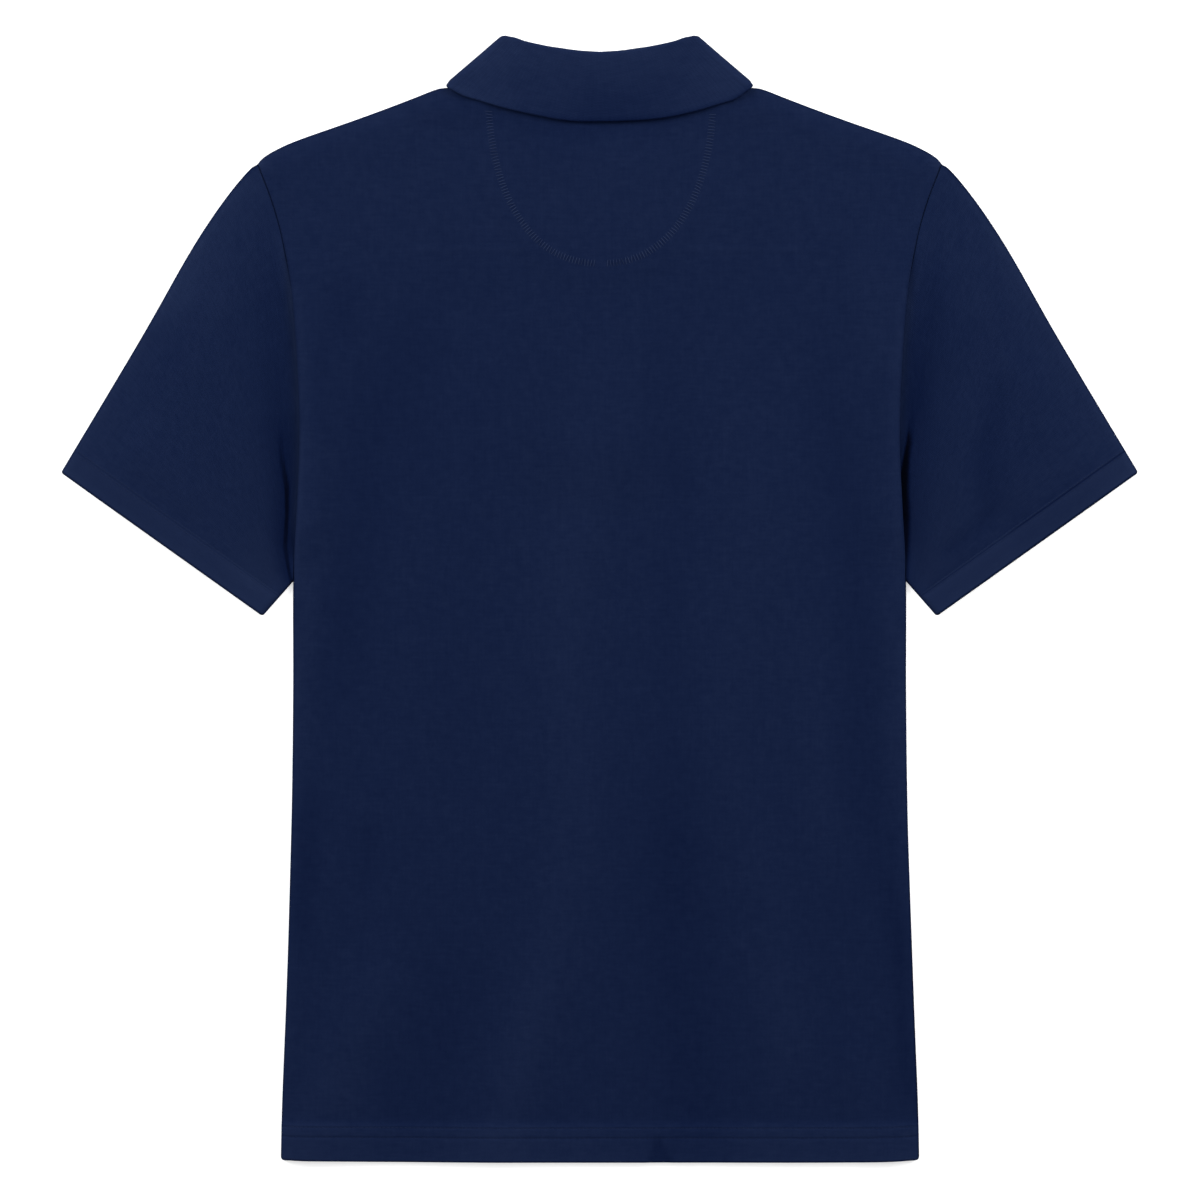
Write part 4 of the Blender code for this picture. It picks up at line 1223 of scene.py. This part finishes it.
# %% Make the collar
BEAD = 0.10
from_end = np.minimum(strip, strip[-1] - strip)
edge = np.minimum(np.minimum(across, from_free), from_end)
half_wall = RIB / 2 - rounded_off(RIB / 2, np.maximum(edge, 0.04 * RIB), RIB / 2)
bead = BEAD * on_back * bell(from_free - 1.6, 1.0)
offset = surface_normals(middle) * (half_wall + bead)[..., None]
plan_x, plan_y = middle[..., 0], middle[..., 1]
# Painted highlight on the leaf's ends and along its top, painted shade across its middle, near the
# top right of centre and just inside its free edge, and a painted dark line on that edge.
light = np.where(plan_x > 0, 0.40, 0.48) * ease((np.abs(plan_x) - 45) / 45)
light = light + 0.34 * ease((plan_y - 348) / 20)
light = light - 0.5 * bell(plan_x - 12, 32) * (1 - ease((plan_y - 330) / 20))
light = light - 0.26 * bell(plan_x - 62, 22) * ease((plan_y - 356) / 10)
light = light - 0.55 * ease((plan_x + 75) / 60) * bell(from_free - 1.3, 2.0)
outline = (0.4 + 0.7 * ease((plan_x + 60) / 80)) * bell(from_free, 0.6)
tone = 0.22 + on_back * light - outline
collar_rib = lay_cloth("collar_rib", middle - offset, middle + offset, stacked(strip, across), tone)

# %% [markdown]
# ## The half moon inside the neck
#
# A half moon of the same knit is sewn inside the back of the neck, so that the shirt hangs well
# and the neck seam is strong. Only its stitches show outside, as a faint ladder. The piece itself
# lies under the back, so it follows the back's lower face.

# %% Make the half moon
MOON_BELOW_SEAM = 5.0
MOON_EDGE = 0.97
MOON_COLUMNS = 61
across = np.sin(np.linspace(-1, 1, MOON_COLUMNS)[None, :] * math.pi / 2)
moon_x = MOON_X * MOON_EDGE * across
inside = np.maximum(1 - (np.abs(moon_x) / MOON_X) ** MOON_ROUND, 0)
rim_y = MOON_TOP_Y - MOON_DROP * inside ** (1 / MOON_ROUND)
top_y = back_top_y(moon_x) - MOON_BELOW_SEAM
up = np.concatenate([[0.0, 0.006, 0.016], np.linspace(0.04, 0.97, 30), [1.0]])[:, None]
moon_y = rim_y + (top_y - rim_y) * up
moon_x = moon_x + 0 * moon_y
from_edge = np.where(np.abs(moon_x) > NECK_X, back_top_y(moon_x) - moon_y, EDGE_RUN)
under = back_lower(moon_x, moon_y, from_edge)[0] - SEAM
thin = rounded_off(PATCH / 2, np.minimum(moon_y - rim_y, top_y - moon_y), 0.8) * 0.8
half_moon_cloth = lay_cloth(
    "half_moon_cloth",
    stacked(moon_x, moon_y, under - thin), stacked(moon_x, moon_y, under - PATCH + thin),
    stacked(moon_x, moon_y), np.zeros(moon_y.shape),
)

# %% [markdown]
# ## The placket
#
# Two narrow bands close the slit in the front, the buttonholed one over the buttoned one. They
# face the table, with the buttons, so they are seen from below. The outer band is edged with a
# row of stitches and closed with a stitched box at its foot.


# %% Make the placket
UNDER_BAND_Y = 122.0
BAND_LENGTH = 152.0
BAND_EDGE_STEPS = np.array([0.0, 0.2, 0.5, 1.0, 1.6, 2.2, 2.8])
STITCH_IN = 2.2


def band_cloth(name, half, bottom, low, high):
    """A straight band from its foot to the neck, between two heights over the table's rise."""
    middle = np.linspace(-half + 4.2, half - 4.2, 9)
    columns = np.concatenate([-half + BAND_EDGE_STEPS, middle, half - BAND_EDGE_STEPS[::-1]])
    rows = np.concatenate([BAND_EDGE_STEPS, np.linspace(4.5, 148.0, 60)]) / BAND_LENGTH
    rows = np.concatenate([rows, [0.985, 0.993, 1.0]])[:, None]
    x = columns[None, :] + 0 * rows
    y = bottom + (front_top_y(x) - bottom) * rows
    z = floor_rise(x, y)
    edge = np.minimum(half - np.abs(x), y - bottom)
    soft = rounded_off(high - low, edge, 1.0) * 0.8
    dent = 0.25 * bell(edge - STITCH_IN, 0.6)
    lower = stacked(x, y, z + low + soft + dent)
    return lay_cloth(name, stacked(x, y, z + high), lower, stacked(x, y), 0 * x)


placket_over_cloth = band_cloth("placket_over_cloth", BAND_X, BAND_Y, -SEAM - CLOTH, -SEAM)
placket_under_cloth = band_cloth("placket_under_cloth", SLIT_X - SEAM, UNDER_BAND_Y, 0.0, CLOTH)

# %% [markdown]
# ## Materials
#
# The shirt is cotton knit dyed navy. Its loops run in fine columns, called wales, about a
# millimetre apart, so the finish is a low bump of wales and rows with a little unevenness in the
# yarn's colour. The tone that each piece keeps, the painted highlight and painted shade of its
# folds and edges, turns the navy lighter or darker there. Cotton hardly shines, so the surface
# is rough, with a thin sheen like fuzz.

# %% Navy in its tones
NAVY_TONES = [
    (-2.6, (1, 3, 14)),
    (-2.0, (3, 8, 28)),
    (-1.0, (9, 21, 52)),
    (0.0, (19, 31, 62)),
    (1.0, (29, 41, 72)),
    (2.0, (40, 52, 83)),
]
LOWEST_TONE, HIGHEST_TONE = NAVY_TONES[0][0], NAVY_TONES[-1][0]
STRENGTH = 0.66


def linear(levels):
    """A colour as light, from the levels that a screen shows."""
    shown = np.array(levels) / 255
    light = np.where(shown <= 0.04045, shown / 12.92, ((shown + 0.055) / 1.055) ** 2.4)
    return (*(STRENGTH * light), 1.0)


# %% Helpers for finishes
def maths(tree, operation, first, second=None):
    """The result of one sum; a value is a number or another node's result."""
    node = tree.nodes.new("ShaderNodeMath")
    node.operation = operation
    for place, value in enumerate((first, second)):
        if isinstance(value, (int, float)):
            node.inputs[place].default_value = value
        elif value is not None:
            tree.links.new(value, node.inputs[place])
    return node.outputs[0]


def noise(tree, place, scale, detail, roughness=0.5):
    """Soft noise over a place, stretched by a scale for each direction."""
    stretch = tree.nodes.new("ShaderNodeMapping")
    stretch.inputs["Scale"].default_value = scale
    tree.links.new(place, stretch.inputs["Vector"])
    node = tree.nodes.new("ShaderNodeTexNoise")
    for label, value in (("Scale", 1.0), ("Detail", detail), ("Roughness", roughness)):
        node.inputs[label].default_value = value
    tree.links.new(stretch.outputs["Vector"], node.inputs["Vector"])
    return node.outputs["Fac"]


def uneven(tree, tone, grain, strength, middle=0.5):
    """A tone with this much noise added."""
    swing = maths(tree, "MULTIPLY", maths(tree, "SUBTRACT", grain, middle), strength)
    return maths(tree, "ADD", tone, swing)


def stored_tone(tree):
    """The tone that a piece keeps at each of its points."""
    node = tree.nodes.new("ShaderNodeAttribute")
    node.attribute_name = "tone"
    return node.outputs["Fac"]


# %% Lead tones to a finish
def colour(finish, tone, height=None, strength=0.0, depth=0.0):
    """Leads a tone to the finish as navy, and a height to its bump."""
    tree = finish.node_tree
    shader = tree.nodes["Principled BSDF"]
    reach = HIGHEST_TONE - LOWEST_TONE
    ramp = tree.nodes.new("ShaderNodeValToRGB")
    stops = ramp.color_ramp.elements
    while len(stops) < len(NAVY_TONES):
        stops.new(0.5)
    for stop, (value, levels) in zip(stops, NAVY_TONES):
        stop.position = (value - LOWEST_TONE) / reach
        stop.color = linear(levels)
    place = maths(tree, "DIVIDE", maths(tree, "SUBTRACT", tone, LOWEST_TONE), reach)
    tree.links.new(place, ramp.inputs[0])
    tree.links.new(ramp.outputs[0], shader.inputs["Base Color"])
    if height is not None:
        bump = tree.nodes.new("ShaderNodeBump")
        bump.inputs["Strength"].default_value = strength
        bump.inputs["Distance"].default_value = depth
        tree.links.new(height, bump.inputs["Height"])
        tree.links.new(bump.outputs["Normal"], shader.inputs["Normal"])
    return finish


# %% Make the knit
GRAINS = [  # scale across and along the wales, detail, roughness, strength
    ((45.0, 45.0, 1.0), 3.0, 0.55, 0.3),
    ((170.0, 170.0, 1.0), 2.0, 0.6, 0.7),
    ((420.0, 60.0, 1.0), 2.0, 0.5, 0.4),
    ((90.0, 620.0, 1.0), 2.0, 0.5, 0.7),
]
YARN_SCALE = (700.0, 700.0, 1.0)


def cloth_finish(name, wale, course, depth, fleck, rib):
    """Knit with wales and courses of this width in metres, over the piece's own flat map."""
    finish = new_finish(
        name, Roughness=0.92, Specular_IOR_Level=0.015, Sheen_Weight=0.015,
        Sheen_Roughness=0.5, Sheen_Tint=(0.35, 0.45, 0.8, 1.0),
    )
    tree = finish.node_tree
    flat = tree.nodes.new("ShaderNodeUVMap")
    flat.uv_map = "weave"
    split = tree.nodes.new("ShaderNodeSeparateXYZ")
    tree.links.new(flat.outputs["UV"], split.inputs[0])
    column = maths(tree, "PINGPONG", maths(tree, "DIVIDE", split.outputs[0], wale), 0.5)
    wales = maths(tree, "SINE", maths(tree, "MULTIPLY", column, math.pi))
    slant = maths(tree, "SUBTRACT", maths(tree, "DIVIDE", split.outputs[1], course), column)
    courses = maths(tree, "SINE", maths(tree, "MULTIPLY", slant, 2 * math.pi))
    yarn = noise(tree, flat.outputs["UV"], YARN_SCALE, 2.0, 0.6)
    tone = uneven(tree, stored_tone(tree), yarn, fleck)
    for scale, detail, roughness, strength in GRAINS:
        grain = noise(tree, flat.outputs["UV"], scale, detail, roughness)
        tone = uneven(tree, tone, grain, strength)
    # A painted highlight on the crests of the wales, as strong as rib.
    tone = maths(tree, "ADD", tone, maths(tree, "MULTIPLY", wales, rib))
    loops = maths(tree, "ADD", wales, maths(tree, "MULTIPLY", courses, 0.6))
    loops = maths(tree, "ADD", loops, maths(tree, "MULTIPLY", yarn, 0.8))
    return colour(finish, tone, loops, 0.5, depth)


knit = cloth_finish("navy_cotton_knit", 0.95 * MM, 0.8 * MM, 0.14 * MM, 0.5, 0.0)
rib_knit = cloth_finish("navy_flat_knit_rib", 1.9 * MM, 1.1 * MM, 0.22 * MM, 0.35, 0.12)
for piece in (back_cloth, front_cloth, sleeve_right_cloth, sleeve_left_cloth, half_moon_cloth,
              placket_over_cloth, placket_under_cloth):
    dress(piece, knit)
dress(collar_rib, rib_knit)
print("finishes", knit.name, rib_knit.name, "nodes", len(knit.node_tree.nodes))

# %% [markdown]
# ## The stitches
#
# A row of sewing is one stitch repeated. The stitch is a short rod of thread, thick in the middle,
# whose ends dive into the cloth. It is modelled once. Its copies are laid along a line that
# follows the cloth, each turned to the line, and each row becomes one mesh. The hems carry two
# rows, as a coverstitch machine sews them, and the half moon a ladder of bars square to its rim.

# %% Model one stitch
THREAD = 0.42
STITCH_SIDES = 6
STITCH_CUTS = (-0.36, -0.12, 0.12, 0.36)


def one_stitch(length, thickness=THREAD):
    """The points and faces of a thread that dives at both ends, along X, and its length."""
    bpy.ops.object.select_all(action="DESELECT")
    bpy.ops.mesh.primitive_cylinder_add(
        vertices=STITCH_SIDES, radius=thickness / 2, depth=length, rotation=(0, math.pi / 2, 0)
    )
    bpy.ops.object.transform_apply(location=True, rotation=True, scale=True)
    rod = bpy.context.object
    mesh = rod.data
    with editing(rod):
        for cut in STITCH_CUTS:
            bpy.ops.mesh.select_all(action="SELECT")
            bpy.ops.mesh.bisect(plane_co=(cut * length, 0, 0), plane_no=(1, 0, 0))
    points = read_all(mesh.vertices, "co", 3)
    dive = (np.abs(points[:, 0]) / (length / 2)) ** 3
    points[:, 1:] *= (1 - 0.45 * dive)[:, None]
    points[:, 2] += thickness * (0.28 - 0.6 * dive)
    faces = [list(face.vertices) for face in mesh.polygons]
    bpy.data.objects.remove(rod)
    bpy.data.meshes.remove(mesh)
    return points, faces


def height_over(piece, plan, from_above):
    """Height in millimetres of a piece's face over or under places of the plan."""
    tree = BVHTree.FromObject(piece, bpy.context.evaluated_depsgraph_get())
    side = 1 if from_above else -1
    heights = []
    for x, y in plan * MM:
        hit = tree.ray_cast(Vector((x, y, 0.05 * side)), Vector((0, 0, -side)))[0]
        heights.append(np.nan if hit is None else hit.z / MM)
    heights = np.array(heights)
    seen = ~np.isnan(heights)
    return np.interp(np.arange(len(heights)), np.flatnonzero(seen), heights[seen])


# %% Lay a row of stitches
THREAD_GRAIN = (2500.0, 2500.0, 2500.0)
ROWS_ON = {}


def thread_finish():
    """Sewing thread: the same navy, with the twist of its plies."""
    finish = new_finish("navy_sewing_thread", Roughness=0.7, Specular_IOR_Level=0.05)
    tree = finish.node_tree
    place = tree.nodes.new("ShaderNodeTexCoord").outputs["Object"]
    twist = noise(tree, place, THREAD_GRAIN, 1.0)
    return colour(finish, uneven(tree, stored_tone(tree), twist, 0.9), twist, 0.4, 0.05 * MM)


thread = thread_finish()


def sew(name, on, stitch, middles, way, z, slope, up, shade):
    """One mesh on a piece with a copy of the stitch at every place, turned to its way."""
    points, faces = stitch
    x = middles[:, :1] + points[:, 0] * way[:, :1] - points[:, 1] * way[:, 1:]
    y = middles[:, 1:] + points[:, 0] * way[:, 1:] + points[:, 1] * way[:, :1]
    height = z[:, None] + up * points[:, 2] + slope[:, None] * points[:, 0]
    places = stacked(x, y, height).reshape(-1, 3) * MM
    order = faces if up > 0 else [face[::-1] for face in faces]
    starts = range(0, len(places), len(points))
    copies = [[corner + start for corner in face] for start in starts for face in order]
    mesh = bpy.data.meshes.new(name)
    mesh.from_pydata(places.tolist(), [], copies)
    mesh.shade_smooth()
    shades = np.broadcast_to(shade, len(middles))
    write_values(mesh, "tone", "FLOAT", np.repeat(shades, len(points)))
    row = bpy.data.objects.new(name, mesh)
    bpy.context.scene.collection.objects.link(row)
    dress(row, thread)
    ROWS_ON.setdefault(on, []).append(row)


def stitch_row(name, piece, line, stitch, pitch, turn=0.0, above=True, jitter=6.0, shade=0.2):
    """A row of stitches over or under a piece, along a line of the plan."""
    reach = np.ptp(stitch[0][:, 0]) / 2
    count = int(line_length(line) / pitch)
    places = np.arange(count)
    middles = along(line, (places + 0.5) / count)
    way = unit(along(line, (places + 0.9) / count) - along(line, (places + 0.1) / count))
    chance = np.random.default_rng(len(name) * 100 + count)
    lean = np.radians(turn + chance.normal(0, jitter, count))
    way = stacked(way[:, 0] * np.cos(lean) - way[:, 1] * np.sin(lean),
                  way[:, 0] * np.sin(lean) + way[:, 1] * np.cos(lean))
    z = height_over(piece, middles, above)
    slope = (height_over(piece, middles + way * reach, above) - z) / reach
    shade = shade(middles) if callable(shade) else shade
    sew(name, piece.name, stitch, middles, way, z, slope, 1 if above else -1, shade)
    print(name, "stitches", count)


# %% Sew the hems
HEM_PITCH = 2.9
# The hems' rows: painted shade on the lower row and a painted highlight on the upper.
HEM_SHADES = (-0.1, 0.7)
hem_stitch = one_stitch(2.3)
share = np.linspace(-0.985, 0.985, 200)
for number, (spot, shade) in enumerate(zip(HEM_STITCHES, HEM_SHADES), 1):
    for piece, top_y, above in ((back_cloth, back_top_y, True), (front_cloth, front_top_y, False)):
        line = stacked(*body_plan(share, np.full(len(share), HEM_Y + spot), top_y))
        name = f"{piece.name[: -len('_cloth')]}_hem_stitches_{number}"
        stitch_row(name, piece, line, hem_stitch, HEM_PITCH, above=above, shade=shade)

# %% Sew the sleeves' hems
NEEDLE_ASIDE = 1.2
hem_line = np.array([SLEEVE_TOP[-1], SLEEVE_CORNER])
inward = np.array([HEM_WAY[1], -HEM_WAY[0]])
for number, depth in enumerate((SLEEVE_TURN - NEEDLE_ASIDE, SLEEVE_TURN + NEEDLE_ASIDE), 1):
    ends = hem_line + (HEM_WAY * (3.0 - 0.1 * depth), -HEM_WAY * 4.0) + inward * depth
    for side, name, piece in ((1, "right", sleeve_right_cloth), (-1, "left", sleeve_left_cloth)):
        for face in ("upper", "lower"):
            # The stitches' shade is a painted highlight, faint on the right sleeve's row nearer the
            # rim, where the groove's painted shade shows.
            stitch_row(
                f"{name}_sleeve_{face}_stitches_{number}", piece, evenly(ends, 80) * (side, 1),
                hem_stitch, HEM_PITCH, above=face == "upper",
                shade=0.6 if side < 0 or number > 1 else 0.1,
            )

# %% [markdown]
# ## The half moon's ladder
#
# The half moon is sewn round its rim with a wide stitch that shows outside as short bars, each
# square to the rim, like the rungs of a ladder. They stop below the collar's leaf, which hides
# the rest. The rows start at the middle and run up each side.

# %% Sew the half moon's ladder
LADDER_X = 75.8
LADDER_DROP = 119.1
LADDER_BAR = 5.2
LADDER_ASIDE = 0.8
LADDER_GAP = 3.4
LADDER_THREAD = 0.58
LADDER_PITCH = 2.05


def ladder_shade(middles):
    """Painted highlight on the bars: more at the sides of the half moon than across its foot, and
    uneven.
    """
    x, y = middles.T
    chance = np.random.default_rng(len(middles)).normal(0, 0.35, len(middles))
    return 1.4 + 0.8 * ease((np.abs(x) - 12) / 40) - 0.5 * ease((y - 290) / 30) + chance


ladder_stitch = one_stitch(LADDER_BAR, LADDER_THREAD)
for name, start, end in (("left", -88.0, -0.01), ("right", 0.01, 88.0)):
    angle = np.radians(np.linspace(start, end, 300))
    ladder_x = LADDER_X * np.sign(angle) * np.abs(np.sin(angle)) ** (2 / MOON_ROUND)
    ladder_y = MOON_TOP_Y - LADDER_DROP * np.cos(angle) ** (2 / MOON_ROUND)
    shown = (ladder_y < leaf_edge_y(ladder_x) - 4) & (np.abs(ladder_x) > LADDER_GAP)
    ladder = stacked(ladder_x + LADDER_ASIDE, ladder_y)[shown]
    stitch_row(f"half_moon_ladder_{name}", back_cloth, ladder, ladder_stitch, LADDER_PITCH,
               turn=90.0, jitter=5.0, shade=ladder_shade)

# %% [markdown]
# ## The placket's stitches
#
# One row runs up each edge of the outer band and two cross its foot, as a box that takes the
# strain. A buttonhole is two rows of short bars, square to the slit and close together, so that
# the cloth can't fray.

# %% Sew the placket
ROW_X = BAND_X - STITCH_IN
ROW_TOP_Y = 270.5
BOX_LOW_Y = BAND_Y + STITCH_IN
BOX_HIGH_Y = BOX_LOW_Y + 24.0
BUTTON_Y = (257.0, 207.0, 157.0)
BUTTONHOLE = 15.0
BUTTONHOLE_X = 0.95
placket_lines = {
    "placket_stitches_left": [(-ROW_X, BOX_LOW_Y), (-ROW_X, ROW_TOP_Y)],
    "placket_stitches_right": [(ROW_X, BOX_LOW_Y), (ROW_X, ROW_TOP_Y)],
    "placket_box_low": [(-ROW_X, BOX_LOW_Y), (ROW_X, BOX_LOW_Y)],
    "placket_box_high": [(-ROW_X, BOX_HIGH_Y), (ROW_X, BOX_HIGH_Y)],
}
for name, ends in placket_lines.items():
    stitch_row(name, placket_over_cloth, evenly(ends, 60), hem_stitch, HEM_PITCH,
               above=False, shade=0.5)
bar = one_stitch(1.7, 0.34)
for number, middle in enumerate(BUTTON_Y, 1):
    for name, x in (("left", -BUTTONHOLE_X), ("right", BUTTONHOLE_X)):
        ends = [(x, middle - BUTTONHOLE / 2), (x, middle + BUTTONHOLE / 2)]
        stitch_row(f"buttonhole_{number}_{name}", placket_over_cloth, evenly(ends, 20), bar, 0.42,
                   turn=90.0, above=False, jitter=4.0, shade=0.4)

# %% [markdown]
# ## The buttons
#
# Three four-hole buttons of navy plastic, face down on the table. A button is turned: a disc with
# a rounded rim and a sunk middle. So a cylinder gets its middle inset and pushed in, four small
# cylinders cut the holes and Bevel rounds every edge. It is modelled once and copied. Two
# stitches cross in the middle and go down through the holes.

# %% Make the buttons
BUTTON_RADIUS = 5.75
BUTTON_RIM = 1.3
BUTTON_SLOPE = 0.7
BUTTON_DISH = 0.6
BUTTON_ROUND = 0.22
HOLE_RADIUS = 0.75
HOLE_PLACE = 1.75
HOLES = 4


def disc(radius, low, high, sides, place):
    """A cylinder between two heights, in millimetres."""
    bpy.ops.object.select_all(action="DESELECT")
    bpy.ops.mesh.primitive_cylinder_add(
        vertices=sides, radius=radius * MM, depth=(high - low) * MM,
        location=(place[0] * MM, place[1] * MM, (low + high) / 2 * MM),
    )
    bpy.ops.object.transform_apply(location=True, rotation=True, scale=True)
    return bpy.context.object


button = disc(BUTTON_RADIUS, 0.0, BUTTON_THICK, 40, (0.0, BUTTON_Y[0]))
with editing(button, [face.normal.z < -0.9 for face in button.data.polygons]):
    bpy.ops.mesh.inset(thickness=BUTTON_RIM * MM)
    bpy.ops.mesh.inset(thickness=BUTTON_SLOPE * MM)
    bpy.ops.transform.translate(value=(0, 0, BUTTON_DISH * MM))
for turn in range(HOLES):
    angle = math.pi / 4 + turn * 2 * math.pi / HOLES
    place = (HOLE_PLACE * math.cos(angle), BUTTON_Y[0] + HOLE_PLACE * math.sin(angle))
    drill = disc(HOLE_RADIUS, -1.0, BUTTON_THICK + 1.0, 14, place)
    apply_modifier(button, "BOOLEAN", object=drill, operation="DIFFERENCE", solver="EXACT")
    bpy.data.objects.remove(drill)
apply_modifier(button, "BEVEL", width=BUTTON_ROUND * MM, segments=2, limit_method="ANGLE",
               angle_limit=math.radians(30))
bpy.ops.object.shade_smooth_by_angle(angle=math.radians(40))
apply_modifier(button, "WEIGHTED_NORMAL", keep_sharp=True, weight=100)
BUTTONS = [button]
for button_y in BUTTON_Y[1:]:
    select_only(button)
    bpy.ops.object.duplicate()
    BUTTONS.append(bpy.context.object)
    with editing(BUTTONS[-1]):
        bpy.ops.transform.translate(value=(0, (button_y - BUTTON_Y[0]) * MM, 0))
print("buttons", len(BUTTONS), "faces each", len(button.data.polygons))

# %% Finish and sew on the buttons
BUTTON_GRAIN = (420.0, 420.0, 420.0)
plastic = new_finish("navy_button_plastic", Roughness=0.24, Specular_IOR_Level=0.5,
                     Coat_Weight=0.3, Coat_Roughness=0.1)
tree = plastic.node_tree
cloud = noise(tree, tree.nodes.new("ShaderNodeTexCoord").outputs["Object"], BUTTON_GRAIN, 3.0)
colour(plastic, uneven(tree, 0.0, cloud, 1.1, middle=1.2))
cross = one_stitch(2 * HOLE_PLACE + 0.5, 0.5)
way = unit(np.array([(1.0, 1.0), (1.0, -1.0)]))
height = np.array([BUTTON_DISH, BUTTON_DISH - 0.12])
for number, (piece, button_y) in enumerate(zip(BUTTONS, BUTTON_Y), 1):
    piece.name = f"button_{number}_plastic"
    dress(piece, plastic)
    middles = np.array([(0.0, button_y)] * 2)
    sew(f"button_{number}_thread", "placket_under_cloth", cross, middles, way, height,
        np.zeros(2), -1, 0.5)

# %% [markdown]
# ## Close
#
# Last, every piece is told what it rides on, and the solid that it takes the place of is
# hidden. A piece of cloth also prints how big it was cut, in metres, next to the area that was
# laid, so that its cut can be set against what was laid.

# %% Close
Cut = namedtuple("Cut", "nodes slot width length area held rests_on")
CUTS = {
    "back_cloth": Cut(
        ["back_panel"], "knit", 0.462, 0.752, 0.310, "laid", ["front_cloth", "collar_rib"]),
    "front_cloth": Cut(
        ["front_panel"], "knit", 0.462, 0.752, 0.296, "laid", ["placket_over_cloth"]),
    "sleeve_right_cloth": Cut(
        ["sleeve_right"], "knit", 0.336, 0.277, 0.0614, "laid", ["front_cloth"]),
    "sleeve_left_cloth": Cut(
        ["sleeve_left"], "knit", 0.336, 0.277, 0.0614, "laid", ["front_cloth"]),
    "half_moon_cloth": Cut(
        ["half_moon_patch"], "knit", 0.152, 0.113, 0.0139, "laid", ["front_cloth"]),
    "placket_over_cloth": Cut(
        ["placket_over"], "knit", 0.032, 0.157, None, "laid", ["button_1_plastic"]),
    "placket_under_cloth": Cut(
        ["placket_under"], "knit", 0.0254, 0.152, None, "laid", ["placket_over_cloth"]),
    "collar_rib": Cut(["collar"], "rib", 0.458, 0.110, 0.0345, "folded", ["front_cloth"]),
}
for name, cut in CUTS.items():
    piece = bpy.data.objects[name]
    rows = ROWS_ON.get(name, [])
    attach(piece, "root")
    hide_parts(*cut.nodes)
    for row in rows:
        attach(row, "root")
    laid = sum(face.area for face in piece.data.polygons) / 2
    print(name, "flat", cut.width, "x", cut.length, "area", cut.area, "measured", round(laid, 4))
for number, piece in enumerate(BUTTONS):
    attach(piece, "root")
    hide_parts(f"button_{number + 1}")
